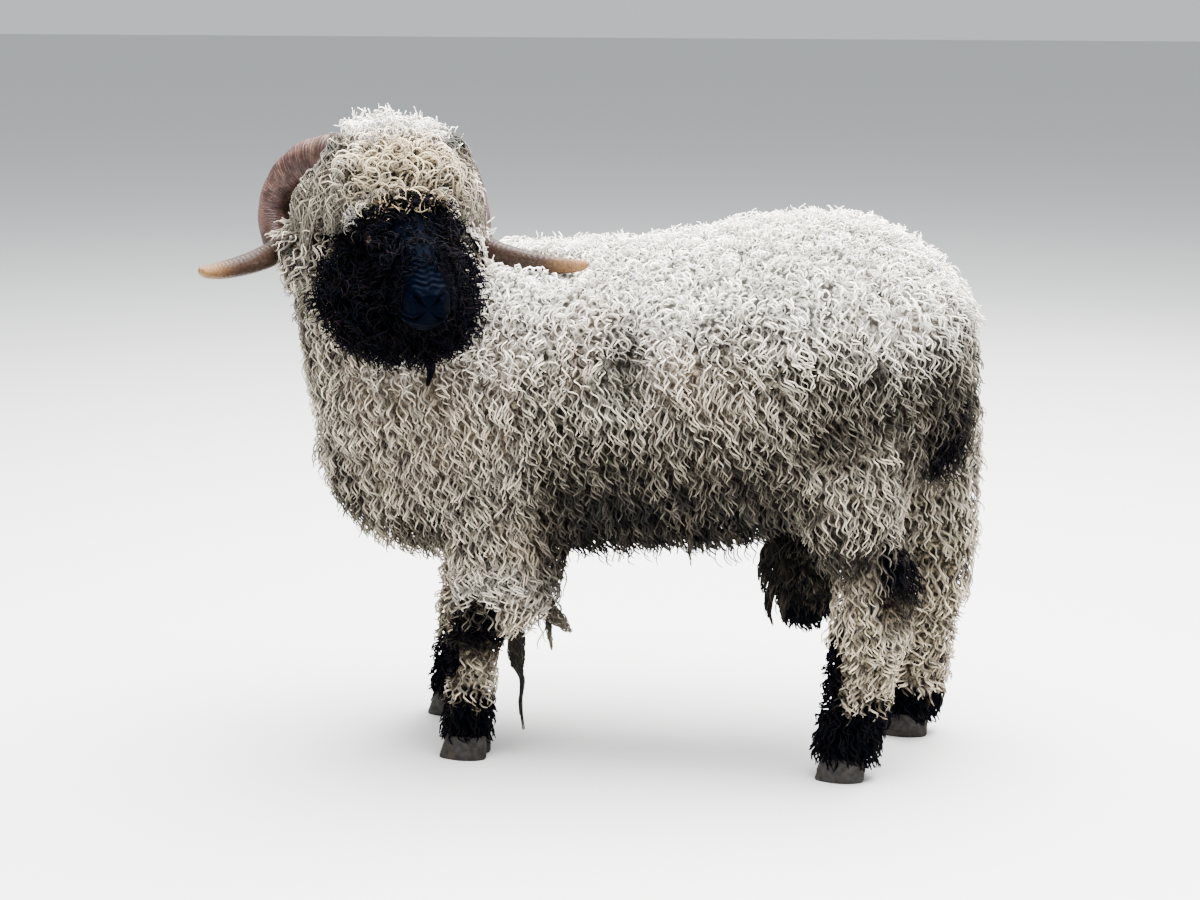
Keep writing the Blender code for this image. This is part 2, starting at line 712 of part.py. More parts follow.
def lip_points(rise):
    """Points round the mouth from corner to corner, each with the way that is outward."""
    points = []
    for i in range(MOUTH_STEPS + 1):
        turn = math.pi * (i / MOUTH_STEPS - 0.5)
        ahead = MOUTH_CORNER_AHEAD + (SKULL[-1][0] - MOUTH_CORNER_AHEAD) * math.cos(turn) ** 0.5
        up = MOUTH_CORNER_UP + (MOUTH_UP - MOUTH_CORNER_UP) * math.cos(turn) + rise
        row = next(i for i in range(1, len(SKULL)) if SKULL[i][0] >= ahead - 1e-6)
        low, high = SKULL[row - 1], SKULL[row]
        share = (ahead - low[0]) / (high[0] - low[0])
        half, top, bottom = [a + (b - a) * share for a, b in zip(low[1:], high[1:])]
        level = min(abs(up - 0.5 * (top + bottom)) / (0.5 * (top - bottom)), 0.98) ** (1.0 / SKULL_POWER)
        wide = half * math.sqrt(1.0 - level * level) ** SKULL_POWER
        limit = -math.sin(turn) * MOUTH_FRONT_HALF / math.cos(turn) if abs(turn) < 1.2 else wide
        left = -math.copysign(min(wide, abs(limit)), turn)
        outward = (LEFT * -math.sin(turn) + NOSEWARD * math.cos(turn)).normalized()
        points.append((head_point(ahead, left, up), outward))
    return points


def mouth_groove():
    """A wedge along the mouth, which cuts its line."""
    rings = []
    for point, outward in lip_points(0.0):
        edge = point + outward * MOUTH_DEPTH
        rise = UP * MOUTH_HALF_OPENING
        rings.append([edge + rise, edge - rise, point - outward * MOUTH_DEPTH])
    return loft("mouth", rings)


def lip(rise):
    """A soft roll along the mouth."""
    rings = []
    for point, outward in lip_points(rise):
        centre = point - outward * (0.4 * LIP_RADIUS)
        rings.append(ellipse(centre, outward, UP, LIP_RADIUS, LIP_RADIUS, LIP_RADIUS, 6))
    return loft("lip", rings)


def pebble(name, centre, axes, radii, across, along):
    """A ball stretched along its own axes."""
    obj = ball(name, Vector(), 1.0, across, along)
    for vert in obj.data.vertices:
        vert.co = centre + sum((axes[k] * (radii[k] * vert.co[k]) for k in range(3)), Vector())
    if axes[0].cross(axes[1]).dot(axes[2]) < 0.0:
        obj.data.flip_normals()
    return obj


def face():
    """The bare head with its lids, lips, nostrils and the line of its mouth."""
    head = loft("skull", [section(*row, 0.0, 16, SKULL_POWER) for row in SKULL])
    added = [lip(LIP_RISE), lip(-LIP_RISE)]
    cuts = [mouth_groove()]
    for side in (-1, 1):
        eye = eye_centre(side)
        outward = head_way(EYE_OUTWARD, side)
        corner = head_way(EYE_CORNER, side)
        corner = (corner - outward * corner.dot(outward)).normalized()
        upward = corner.cross(outward) * side
        axes = (corner, upward, outward)
        added.append(ball("lids", eye, EYE_RADIUS + LID, 12, 8))
        added.append(pebble("brow", eye + upward * BROW_RISE + outward * BROW_OUT, axes, BROW, 10, 6))
        cuts.append(pebble("slit", eye + outward * SLIT_OUT, axes, SLIT, 10, 6))
        slant = head_way(NOSTRIL_SLANT, side)
        axes = (slant, NOSEWARD.cross(slant), NOSEWARD)
        for place, radii, kind in ((NOSTRIL_WING, WING_RADII, added), (NOSTRIL, NOSTRIL_RADII, cuts)):
            kind.append(pebble("nose", head_point(place[0], side * place[1], place[2]), axes, radii, 8, 6))
    boolean(head, added, "UNION")
    boolean(head, cuts, "DIFFERENCE")
    return keep_largest(head)


def lock(points):
    """A hanging, tapered lock of matted wool through these points."""
    rings = []
    for i, point in enumerate(points):
        size = LOCK_RADIUS + (LOCK_TIP - LOCK_RADIUS) * (i / (len(points) - 1)) ** 2
        rings.append(ellipse(Vector(point), Y, X, size, size, size, LOCK_SIDES))
    return loft("lock", rings)


def material(name, colour, roughness):
    made = bpy.data.materials.new(name)
    made.use_nodes = True
    shader = made.node_tree.nodes["Principled BSDF"]
    shader.inputs["Base Color"].default_value = (*colour, 1.0)
    shader.inputs["Roughness"].default_value = roughness
    return made


def settle(nodes):
    """Moves every node so that the origin is under the middle of the whole."""
    points = [vert.co for node in nodes for vert in node.data.vertices]
    middle = [0.5 * (min(p[k] for p in points) + max(p[k] for p in points)) for k in (0, 1)]
    shift = Vector((-middle[0], -middle[1], 0.0))
    for node in nodes:
        for vert in node.data.vertices:
            vert.co += shift


def finish(nodes):
    """Gives each node its colour, and shades it smooth up to its sharp edges."""
    looks = {
        "fleece": material("fleece", (0.62, 0.55, 0.45), 0.95),
        "black_wool": material("black_wool", (0.022, 0.020, 0.024), 0.85),
        "dark_skin": material("dark_skin", (0.060, 0.042, 0.038), 0.70),
        "horn": material("horn", (0.330, 0.215, 0.150), 0.55),
        "hoof": material("hoof", (0.045, 0.040, 0.036), 0.60),
        "eye": material("eye", (0.060, 0.040, 0.020), 0.10),
    }
    kinds = {"head": "black_wool", "ear": "black_wool", "scrotum": "dark_skin"}
    for node in nodes:
        kind = node.name.split("_")[0]
        look = kinds.get(kind, kind if kind in looks else "fleece")
        node.data.materials.clear()
        node.data.materials.append(looks[look])
        node.data.shade_smooth()
        node.data.set_sharp_from_angle(angle=SHARP)


def seats():
    """Cutters a gap larger than the horns, ears, eyes and claws."""
    cutters = [horn("cut", side) for side in (-1, 1)]
    cutters += [ear(name) for name in EARS]
    cutters += [ball("cut", eye_centre(side), EYE_RADIUS) for side in (-1, 1)]
    cutters += [claw("cut", leg, side) for leg in HOOVES for side in (-1, 1)]
    return [swell(cutter, 2.0 * GAP) for cutter in cutters]


def main():
    for obj in list(bpy.data.objects):
        bpy.data.objects.remove(obj)
    rest = boolean(flesh(), seats(), "DIFFERENCE")
    nodes = [rest]
    for name in CELLS:
        nodes.append(boolean(copy_of(rest, name), [cell(name, 0.0)], "INTERSECT"))
        boolean(rest, [cell(name, GAP)], "DIFFERENCE")
    rest.name = "torso"
    for node in nodes:
        keep_largest(node)
    for side, word in ((-1, "right"), (1, "left")):
        nodes.append(horn("horn_" + word, side))
        nodes.append(ear("ear_" + word))
        nodes.append(ball("eye_" + word, eye_centre(side), EYE_RADIUS))
    for leg in HOOVES:
        for side, word in ((-1, "a"), (1, "b")):
            nodes.append(claw(f"hoof_{leg}_{word}", leg, side))
    settle(nodes)
    finish(nodes)


main()
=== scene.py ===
"""Looks of the Valais blacknose ram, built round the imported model.

Metres, +Z up. The ram faces -X, its left side is towards -Y, and the floor is z = 0.
Shapes are worked out in the ram's own frame, from the same stations as its solids, and are
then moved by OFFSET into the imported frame. Tables of stations are in millimetres.
"""

import math
from itertools import product

import bpy
import numpy as np
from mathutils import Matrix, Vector
from mathutils.kdtree import KDTree


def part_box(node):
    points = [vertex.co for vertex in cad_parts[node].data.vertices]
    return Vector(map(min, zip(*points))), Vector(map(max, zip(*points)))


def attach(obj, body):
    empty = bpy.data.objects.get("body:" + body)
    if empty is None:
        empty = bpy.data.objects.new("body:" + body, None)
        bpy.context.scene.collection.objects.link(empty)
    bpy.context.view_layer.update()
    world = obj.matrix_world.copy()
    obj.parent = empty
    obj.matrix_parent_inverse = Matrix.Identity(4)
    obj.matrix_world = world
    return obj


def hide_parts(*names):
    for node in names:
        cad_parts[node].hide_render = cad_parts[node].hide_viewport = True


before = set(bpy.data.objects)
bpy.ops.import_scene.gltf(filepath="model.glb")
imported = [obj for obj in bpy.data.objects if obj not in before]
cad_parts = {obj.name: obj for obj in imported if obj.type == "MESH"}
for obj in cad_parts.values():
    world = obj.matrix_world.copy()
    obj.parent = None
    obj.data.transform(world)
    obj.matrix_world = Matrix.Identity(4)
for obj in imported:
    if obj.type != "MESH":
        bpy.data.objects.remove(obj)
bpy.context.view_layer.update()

SEED = 7
SIDES = {-1: "right", 1: "left"}


def mm(rows):
    """A table in millimetres, as an array in metres."""
    return np.array(rows) / 1000.0


# How far the skin lies inside the outline of the fleece's tips.
BODY_INSET = 0.031
LEG_INSET = 0.017
CAP_INSET = 0.040
RUFF_INSET = 0.030
TAIL_INSET = 0.020
LEG_THIN_Z = 0.26
LEG_THICK_Z = 0.42
LEAST_RADIUS = 0.02
SKIN_VOXEL = 0.0085

# Trunk outline with its fleece, front to back: x, top z, bottom z, half width.
TRUNK = mm([
    (-475, 620, 500, 50), (-430, 680, 405, 125), (-360, 775, 345, 170), (-270, 842, 332, 205),
    (-150, 870, 336, 228), (-20, 877, 352, 245), (100, 887, 362, 255), (220, 911, 370, 258),
    (330, 930, 390, 248), (420, 925, 430, 232), (500, 895, 470, 205), (565, 840, 510, 165),
    (608, 775, 560, 100),
])
TRUNK_POWER = 0.90

# Neck outline with its fleece, from the chest to the back of the head: x, y, z, radius.
NECK = mm([
    (-225, 0, 600, 220), (-290, -3, 670, 228), (-324, -18, 745, 200), (-340, -48, 815, 178),
    (-342, -88, 885, 160), (-334, -125, 945, 130),
])

# Legs with their fleece, top to bottom: x, y outward, z, fore-and-aft radius, side radius.
FORELEG = mm([
    (-130, 110, 560, 150, 100), (-132, 118, 430, 124, 92), (-140, 120, 340, 100, 80),
    (-148, 120, 275, 84, 70), (-180, 120, 238, 56, 54), (-193, 118, 200, 50, 50),
    (-200, 116, 130, 46, 45), (-206, 114, 85, 52, 50), (-210, 113, 41, 56, 50),
])
FORELEG_SHIFT = -0.072
FORELEG_SHIFT_FROM = 0.560
FORELEG_SHIFT_TO = 0.300
HINDLEG_LEFT = mm([
    (400, 100, 700, 165, 115), (430, 132, 580, 132, 104), (425, 145, 480, 106, 92),
    (440, 146, 410, 85, 80), (471, 145, 345, 76, 68), (465, 141, 270, 68, 62), (453, 135, 200, 63, 58),
    (446, 130, 130, 61, 56), (436, 128, 85, 66, 58), (428, 126, 41, 66, 58),
])
HINDLEG_RIGHT = mm([
    (420, 100, 700, 165, 115), (505, 130, 580, 136, 106), (530, 145, 480, 116, 94),
    (546, 146, 400, 98, 84), (558, 145, 330, 78, 70), (551, 141, 260, 67, 62), (545, 136, 200, 61, 57),
    (540, 131, 130, 59, 55), (532, 128, 85, 64, 57), (524, 126, 41, 64, 57),
])
LEGS = {
    "foreleg_left": (FORELEG, -1),
    "foreleg_right": (FORELEG, 1, FORELEG_SHIFT),
    "hindleg_left": (HINDLEG_LEFT, -1),
    "hindleg_right": (HINDLEG_RIGHT, 1),
}

# Hooves: middle of the two claws on the floor, and the sizes of a claw.
HOOVES = {
    "fore_left": (-0.214, -0.113),
    "fore_right": (-0.286, 0.113),
    "hind_left": (0.420, -0.126),
    "hind_right": (0.516, 0.126),
}
CLAW_LENGTH = 0.082
CLAW_WIDTH = 0.034
CLAW_TOP = 0.0405
CLAW_SPLIT = 0.004

# Tail with its fleece, root to tip: x, z, radius. Scrotum, top to bottom: x, z, radius.
TAIL = mm([
    (505, 800, 50), (558, 752, 54), (576, 680, 52), (577, 600, 50), (568, 530, 43), (556, 485, 24),
])
SCROTUM = mm([
    (372, 460, 40), (362, 395, 40), (355, 345, 50), (350, 295, 52), (348, 250, 43), (350, 222, 18),
])

# Head frame: the poll, and how the face turns from -Y towards +X and down.
X, Y, Z = np.eye(3)
POLL = np.array([-0.318, -0.160, 0.955])
HEAD_TURN = math.radians(28.0)
HEAD_DIP = math.radians(23.0)
HEAD_ROLL = math.radians(1.6)
LEVEL = np.array([math.sin(HEAD_TURN), -math.cos(HEAD_TURN), 0.0])
LEFT = np.array([math.cos(HEAD_TURN), math.sin(HEAD_TURN), -math.tan(HEAD_ROLL)])
LEFT /= np.linalg.norm(LEFT)
NOSEWARD = LEVEL * math.cos(HEAD_DIP) - Z * math.sin(HEAD_DIP)
UP = np.cross(NOSEWARD, LEFT)
UP /= np.linalg.norm(UP)

# Bare head, from the back of the skull to the nose: distance, half width, top, bottom.
SKULL = mm([
    (-45, 48, 16, -75), (-10, 62, 34, -100), (40, 70, 44, -116), (90, 70, 47, -116), (125, 66, 46, -110),
    (155, 56, 43, -100), (185, 47, 36, -90), (215, 42, 26, -90), (240, 41, 14, -93), (262, 40, 1, -93),
    (278, 35, -10, -87), (288, 24, -20, -72),
])
SKULL_POWER = 0.88
FACE_RINGS = 190
FACE_SIDES = 180

# Wool of the head: cap over the poll and forehead, ruff of cheeks and jaw.
CAP = mm([
    (-105, 50, 60, -30), (-75, 92, 108, -70), (-30, 120, 136, -80), (20, 125, 140, -60),
    (65, 112, 122, -20), (100, 80, 90, 10),
])
RUFF = mm([
    (-60, 85, 0, -125), (-10, 118, 10, -165), (50, 126, -5, -188), (110, 138, -8, -200),
    (165, 124, -25, -198), (215, 90, -50, -176),
])

# Face details in the head frame: distance ahead, to one side, and up.
EYE = (0.132, 0.053, -0.008)
EYE_RADIUS = 0.0160
EYE_OUTWARD = (0.50, 0.80, 0.20)
EYE_CORNER = (0.75, -0.40, -0.30)
LID = 0.0028
SLIT_HALF_LENGTH = 0.0150
SLIT_HALF_OPENING = 0.0088
MOUTH_UP = -0.063
MOUTH_BACK = 0.222
MOUTH_BACK_UP = -0.060
NOSTRIL = (0.291, 0.017, -0.026)
NOSTRIL_SLANT = (0.80, 0.60)
FOLD_LENGTH = 0.0085

# Ears: root and tip from the poll, level ahead, outward and up, for each side.
EARS = {
    "ear_right": ((0.010, 0.072, -0.020), (0.020, 0.116, -0.148)),
    "ear_left": ((0.010, 0.072, -0.020), (0.012, 0.156, -0.128)),
}
EAR_HALF_WIDTH = 0.028
EAR_THICKNESS = 0.006

# Horns: a spiral about the axis across the head. Places are from the poll, on the level.
HORN_CENTRE_AHEAD = -0.010
HORN_CENTRE_UP = -0.025
HORN_DROOP = 0.012
HORN_CURL = 0.080
HORN_START = math.radians(-20.0)
HORN_TURN = math.radians(235.0)
HORN_ROOT_OUT = 0.045
HORN_SPREAD = 0.125
HORN_SPREAD_END = 0.60
HORN_FLICK = {-1: 0.155, 1: 0.125}
HORN_FORWARD = 0.090
HORN_FLICK_START = 0.70
HORN_RADIUS = 0.037
HORN_WIDE = 1.22
HORN_WIDE_TIP = 0.86
HORN_TAPER = 0.45
HORN_RINGS = 320
HORN_SIDES = 40

# Bunches of wool by the horns, from the poll: ahead on the level, outward, up, and radius.
# The lower one of each side has a kind of lock of its own.
BUNCH_SIDES = (-1, -1, 1, 1)
BUNCHES = mm([(0, 130, -90, 36), (-4, 62, 50, 43), (20, 80, 12, 40), (-4, 60, 46, 42)])
BUNCHES_LOWER = (0, 2)
BUNCH_MARGIN = 0.012

# Photo camera, in the ram's frame, and the studio: name, place, width and power of each light.
CAMERA_PLACE = (0.618, -3.901, 1.35)
CAMERA_TURN = math.radians(9.0)
CAMERA_DIP = math.radians(12.0)
CAMERA_LENS = 72.0
FLOOR_SIZE = 30.0
LIGHTS = [
    ("key", (-2.4, -4.0, 3.4), 3.0, 170.0),
    ("fill", (3.4, -3.4, 2.4), 3.0, 70.0),
    ("top", (0.3, 0.3, 4.0), 4.5, 2000.0),
    ("rim", (1.5, 3.6, 2.8), 3.0, 150.0),
]


def unit(v):
    """Vectors of length one, along the last axis."""
    v = np.asarray(v, float)
    return v / np.maximum(np.linalg.norm(v, axis=-1, keepdims=True), 1e-9)


def distance(points, place):
    """How far each point is from a place."""
    return np.linalg.norm(points - place, axis=1)


def round_angles(count, start=0.0):
    """Even angles round a ring, the first one moved on by start steps."""
    return 2.0 * math.pi * (np.arange(count) + start) / count


def ramp(low, high, v):
    """0 below low, 1 above high, and smooth between."""
    t = np.clip((v - low) / (high - low), 0.0, 1.0)
    return t * t * (3.0 - 2.0 * t)


def fall(low, high, v):
    """1 below low, 0 above high, and smooth between."""
    return 1.0 - ramp(low, high, v)


def bell(*parts):
    """A bell round the place where each distance is 0. A part is a distance and its width."""
    return np.exp(-sum((v / width) ** 2 for v, width in parts))


def plateau(v, width, power=4):
    """1 where v is less than width either way, and 0 beyond, with soft edges."""
    return np.exp(-((v / width) ** power))


def blob(points, place, radii, power=2):
    """1 inside an ellipsoid and 0 outside it, with a soft edge."""
    return np.exp(-((((points - place) / radii) ** 2).sum(1) ** power))


def head_point(ahead, left, up):
    """Points in the head's own frame, as points of the ram's."""
    ahead, left, up = [np.asarray(v, float)[..., None] for v in (ahead, left, up)]
    return POLL + NOSEWARD * ahead + LEFT * left + UP * up


def head_coords(points):
    """Distance ahead, to the left and up in the head frame."""
    from_poll = points - POLL
    return from_poll @ NOSEWARD, from_poll @ LEFT, from_poll @ UP


def head_way(parts, side):
    """A direction in the head frame: ahead, outward on this side, and up."""
    return unit(NOSEWARD * parts[0] + LEFT * (side * parts[1]) + UP * parts[2])


def eye_centre(side):
    """The middle of an eyeball."""
    return head_point(EYE[0], side * EYE[1], EYE[2])


def bunch_centre(number):
    """The middle of a bunch of wool by a horn."""
    ahead, out, up, _ = BUNCHES[number]
    return POLL + LEVEL * ahead + LEFT * (BUNCH_SIDES[number] * out) + Z * up


def near_bunch(points, number):
    """Which points lie on a bunch of wool by a horn."""
    return distance(points, bunch_centre(number)) < BUNCHES[number][3] + BUNCH_MARGIN


EYE_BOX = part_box("eye_left")
OFFSET = 0.5 * (np.array(EYE_BOX[0]) + np.array(EYE_BOX[1])) - eye_centre(1)


def resample(rows, count):
    """A station table with more rows, along a smooth curve through its own."""
    t = np.linspace(0.0, len(rows) - 1.0, count)
    i = np.clip(t.astype(int), 0, len(rows) - 2)
    f = (t - i)[:, None]
    a, b, c, d = rows[np.maximum(i - 1, 0)], rows[i], rows[i + 1], rows[np.minimum(i + 2, len(rows) - 1)]
    return 0.5 * (2 * b + (c - a) * f + (2 * a - 5 * b + 4 * c - d) * f**2 + (3 * b - a - 3 * c + d) * f**3)


def rings_of(centres, across, upward, half, reach, sides, power=1.0):
    """Rings of points round centres. A power under 1 squares them."""
    angle = round_angles(sides, 0.5)
    c = np.copysign(np.abs(np.cos(angle)) ** power, np.cos(angle))
    s = np.copysign(np.abs(np.sin(angle)) ** power, np.sin(angle))
    across, upward = [np.broadcast_to(way, centres.shape)[:, None, :] for way in (across, upward)]
    side = half[:, None, None] * s[None, :, None] * across
    rise = reach[:, None, None] * c[None, :, None] * upward
    return centres[:, None, :] + side + rise


def grid_triangles(rows, columns):
    """Triangles over a grid of points, closed round its columns."""
    i, k = np.meshgrid(np.arange(rows - 1), np.arange(columns), indexing="ij")
    a = (i * columns + k).ravel()
    b = (i * columns + (k + 1) % columns).ravel()
    return np.concatenate([np.stack([a, b, b + columns], 1), np.stack([a, b + columns, a + columns], 1)])


def loft(rings):
    """Points and triangles of a closed body through rings, with a fan on each end."""
    rows, sides = rings.shape[:2]
    points = np.concatenate([rings.reshape(-1, 3), rings[:1].mean(1), rings[-1:].mean(1)])
    k = np.arange(sides)
    after = (k + 1) % sides
    start = np.stack([after, k, np.full(sides, rows * sides)], 1)
    base = (rows - 1) * sides
    end = np.stack([base + k, base + after, np.full(sides, rows * sides + 1)], 1)
    faces = np.concatenate([grid_triangles(rows, sides), start, end])
    return points, outward_faces(points, faces)


def corners(points, faces):
    """The places of the three corners of each triangle."""
    return [points[faces[:, k]] for k in range(3)]


def outward_faces(points, faces):
    """The same faces, turned over if the body holds less than nothing."""
    a, b, c = corners(points, faces)
    return faces if np.einsum("ij,ij->i", a, np.cross(b, c)).sum() > 0.0 else faces[:, ::-1]


def mesh_object(name, points, faces):
    """A smooth object of these triangles, in the scene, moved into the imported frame."""
    mesh = bpy.data.meshes.new(name)
    mesh.vertices.add(len(points))
    mesh.vertices.foreach_set("co", (points + OFFSET).astype(np.float32).ravel())
    mesh.loops.add(3 * len(faces))
    mesh.loops.foreach_set("vertex_index", faces.astype(np.int32).ravel())
    mesh.polygons.add(len(faces))
    mesh.polygons.foreach_set("loop_start", np.arange(0, 3 * len(faces), 3, dtype=np.int32))
    mesh.polygons.foreach_set("loop_total", np.full(len(faces), 3, np.int32))
    mesh.update(calc_edges=True)
    mesh.polygons.foreach_set("use_smooth", np.full(len(faces), True))
    obj = bpy.data.objects.new(name, mesh)
    bpy.context.scene.collection.objects.link(obj)
    return obj


def settle(obj, slot, *materials):
    """Gives an object its materials, and sets it on the one body. The slot is not used."""
    for material in materials:
        obj.data.materials.append(material)
    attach(obj, "root")


def arrays_of(obj):
    """Points and triangles of an object as the viewport shows it, in the ram's frame."""
    graph = bpy.context.evaluated_depsgraph_get()
    mesh = bpy.data.meshes.new_from_object(obj.evaluated_get(graph))
    points = np.empty(3 * len(mesh.vertices), np.float32)
    mesh.vertices.foreach_get("co", points)
    mesh.calc_loop_triangles()
    faces = np.empty(3 * len(mesh.loop_triangles), np.int32)
    mesh.loop_triangles.foreach_get("vertices", faces)
    bpy.data.meshes.remove(mesh)
    return points.reshape(-1, 3).astype(float) - OFFSET, faces.reshape(-1, 3)


def point_normals(points, faces):
    """Smooth normals at the points."""
    a, b, c = corners(points, faces)
    way = np.cross(b - a, c - a)
    total = np.zeros_like(points)
    for k in range(3):
        np.add.at(total, faces[:, k], way)
    return unit(total)


def join_arrays(parts):
    """Several bodies as one set of points and triangles."""
    starts = np.cumsum([0] + [len(points) for points, _ in parts])
    faces = [part_faces + start for (_, part_faces), start in zip(parts, starts)]
    return np.concatenate([points for points, _ in parts]), np.concatenate(faces)


def set_values(obj, name, kind, values):
    """A value at each point, for the materials."""
    layer = obj.data.attributes.new(name, kind, "POINT")
    key = {"FLOAT": "value", "FLOAT_VECTOR": "vector", "FLOAT_COLOR": "color"}[kind]
    layer.data.foreach_set(key, np.ascontiguousarray(values, np.float32).ravel())


def head_loft(rows, inset, count, sides, power=1.0):
    """A body of rings across the head."""
    ahead, half, top, bottom = resample(rows, count).T
    centres = head_point(ahead, 0.0 * ahead, 0.5 * (top + bottom))
    return rings_of(centres, LEFT, UP, half - inset, 0.5 * (top - bottom) - inset, sides, power)


def upright_loft(rows, inset, count, sides):
    """A body of level rings: x, y, z, fore-and-aft radius, side radius."""
    rows = resample(rows, count)
    less = inset(rows[:, 2])
    return rings_of(rows[:, :3], Y, X, rows[:, 4] - less, rows[:, 3] - less, sides)


def leg_inset(z):
    """How far a leg's skin lies inside its outline at this height."""
    share = np.clip((z - LEG_THIN_Z) / (LEG_THICK_Z - LEG_THIN_Z), 0.0, 1.0)
    return LEG_INSET + (BODY_INSET - LEG_INSET) * share


def leg_rows(rows, side, shift=0.0):
    """The rows of a leg on its side, its lower part moved fore or aft by shift."""
    rows = rows.copy()
    share = (FORELEG_SHIFT_FROM - rows[:, 2]) / (FORELEG_SHIFT_FROM - FORELEG_SHIFT_TO)
    rows[:, 0] += shift * np.clip(share, 0.0, 1.0)
    rows[:, 1] *= side
    return rows


def ball_rings(centre, pole, radius, rows=40, columns=64):
    """Rings of a round body."""
    side = unit(np.cross(pole, X + 0.5 * Y))
    third = np.cross(pole, side)
    angle = np.linspace(0.0, math.pi, rows)
    turn = round_angles(columns)
    flat = np.sin(angle)[:, None, None] * (
        np.cos(turn)[None, :, None] * side + np.sin(turn)[None, :, None] * third
    )
    return centre + radius * (flat + np.cos(angle)[:, None, None] * pole)


def body_lofts():
    """The lofts of trunk, neck, legs, tail, scrotum and woolled head, at the depth of the skin."""
    x, top, bottom, half = resample(TRUNK, 40).T
    centres = np.stack([x, 0.0 * x, 0.5 * (top + bottom)], 1)
    reach = np.maximum(0.5 * (top - bottom) - BODY_INSET, LEAST_RADIUS)
    trunk = rings_of(centres, Y, Z, np.maximum(half - BODY_INSET, LEAST_RADIUS), reach, 40, TRUNK_POWER)
    trunk[0] += X * BODY_INSET
    trunk[-1] -= X * BODY_INSET
    rows = resample(NECK, 20)
    along = unit(np.gradient(rows[:, :3], axis=0))
    across = unit(np.cross(along, Z))
    thick = rows[:, 3] - BODY_INSET
    neck = rings_of(rows[:, :3], across, np.cross(across, along), thick, thick, 36)
    tail, scrotum = [np.array([(x, 0.0, z, r, r) for x, z, r in table]) for table in (TAIL, SCROTUM)]
    return [
        trunk,
        neck,
        head_loft(CAP, CAP_INSET, 24, 36),
        head_loft(RUFF, RUFF_INSET, 24, 36),
        *[ball_rings(bunch_centre(number), Z, bunch[3], 14, 24) for number, bunch in enumerate(BUNCHES)],
        *[upright_loft(leg_rows(*leg), leg_inset, 40, 28) for leg in LEGS.values()],
        upright_loft(tail, lambda z: 0.0 * z + TAIL_INSET, 24, 24),
        upright_loft(scrotum, lambda z: 0.0 * z, 24, 24),
    ]


def body_skin():
    """One smooth closed skin over the lofts."""
    points, faces = join_arrays([loft(rings) for rings in body_lofts()])
    obj = mesh_object("lofts", points, faces)
    remesh = obj.modifiers.new("skin", "REMESH")
    remesh.mode = "VOXEL"
    remesh.voxel_size = SKIN_VOXEL
    smooth = obj.modifiers.new("smooth", "SMOOTH")
    smooth.factor = 0.5
    smooth.iterations = 8
    bpy.context.view_layer.update()
    points, faces = arrays_of(obj)
    bpy.data.objects.remove(obj)
    return points, faces


def mouth_height(ahead):
    """The height of the mouth's line at this distance ahead."""
    share = np.clip((ahead - MOUTH_BACK) / (NOSTRIL[0] - MOUTH_BACK), 0.0, 1.0)
    return MOUTH_BACK_UP + (MOUTH_UP - MOUTH_BACK_UP) * share


def face_skin():
    """The bare head, with lids, nostrils, lips and the folds of the nose."""
    points, faces = loft(head_loft(SKULL, 0.0, FACE_RINGS, FACE_SIDES, SKULL_POWER))
    normals = point_normals(points, faces)
    ahead, left, up = head_coords(points)
    side = np.abs(left)
    out = np.zeros(len(points))

    # Folds over the nose, cut by a shallow line down its middle.
    on_nose = ramp(0.225, 0.245, ahead) * fall(0.275, 0.285, ahead)
    on_top = ramp(-0.055, -0.020, up) * fall(0.030, 0.040, side)
    waves = np.sin(2.0 * math.pi * (ahead + 0.35 * side + 0.0020 * np.sin(left * 230.0)) / FOLD_LENGTH)
    out += 0.0008 * waves * on_nose * on_top
    out -= 0.0016 * bell((left, 0.0034)) * on_nose * on_top

    # Mouth, lips and the groove under the nose.
    beside = up - mouth_height(ahead)
    in_front = ramp(MOUTH_BACK - 0.006, MOUTH_BACK + 0.006, ahead)
    out -= 0.0052 * bell((beside, 0.0020)) * in_front
    out += 0.0022 * bell((np.abs(beside) - 0.0058, 0.0034)) * in_front
    under = (up < NOSTRIL[2] + 0.002) & (beside > 0.0)
    out -= 0.0022 * bell((left, 0.0016)) * ramp(0.270, 0.282, ahead) * under

    # Nostrils: a slanted slit with a raised wing above and behind it.
    slit_left = side - NOSTRIL[1]
    slit_up = up - NOSTRIL[2]
    long_way = slit_left * NOSTRIL_SLANT[0] + slit_up * NOSTRIL_SLANT[1]
    short_way = -slit_left * NOSTRIL_SLANT[1] + slit_up * NOSTRIL_SLANT[0]
    near_tip = ramp(0.262, 0.274, ahead)
    out -= 0.0085 * bell((long_way, 0.0085), (short_way + 18.0 * long_way**2, 0.0034)) * near_tip
    out += 0.0030 * bell((long_way, 0.0120), (short_way - 0.0058, 0.0042)) * near_tip

    # Cheek ridge and a soft hollow in front of the eye.
    out += 0.0030 * bell((up + 0.045, 0.010), (ahead - 0.150, 0.050)) * (side > 0.02)
    out -= 0.0022 * bell((up + 0.020, 0.012), (ahead - 0.168, 0.014)) * (side > 0.02)
    points = points + normals * out[:, None]
    for sign in (-1, 1):
        points = set_eye(points, sign)
    return points, faces


def eye_frame(sign):
    """The way an eye looks, and the way to its front corner."""
    outward = head_way(EYE_OUTWARD, sign)
    corner = head_way(EYE_CORNER, sign)
    return outward, unit(corner - outward * (corner @ outward))


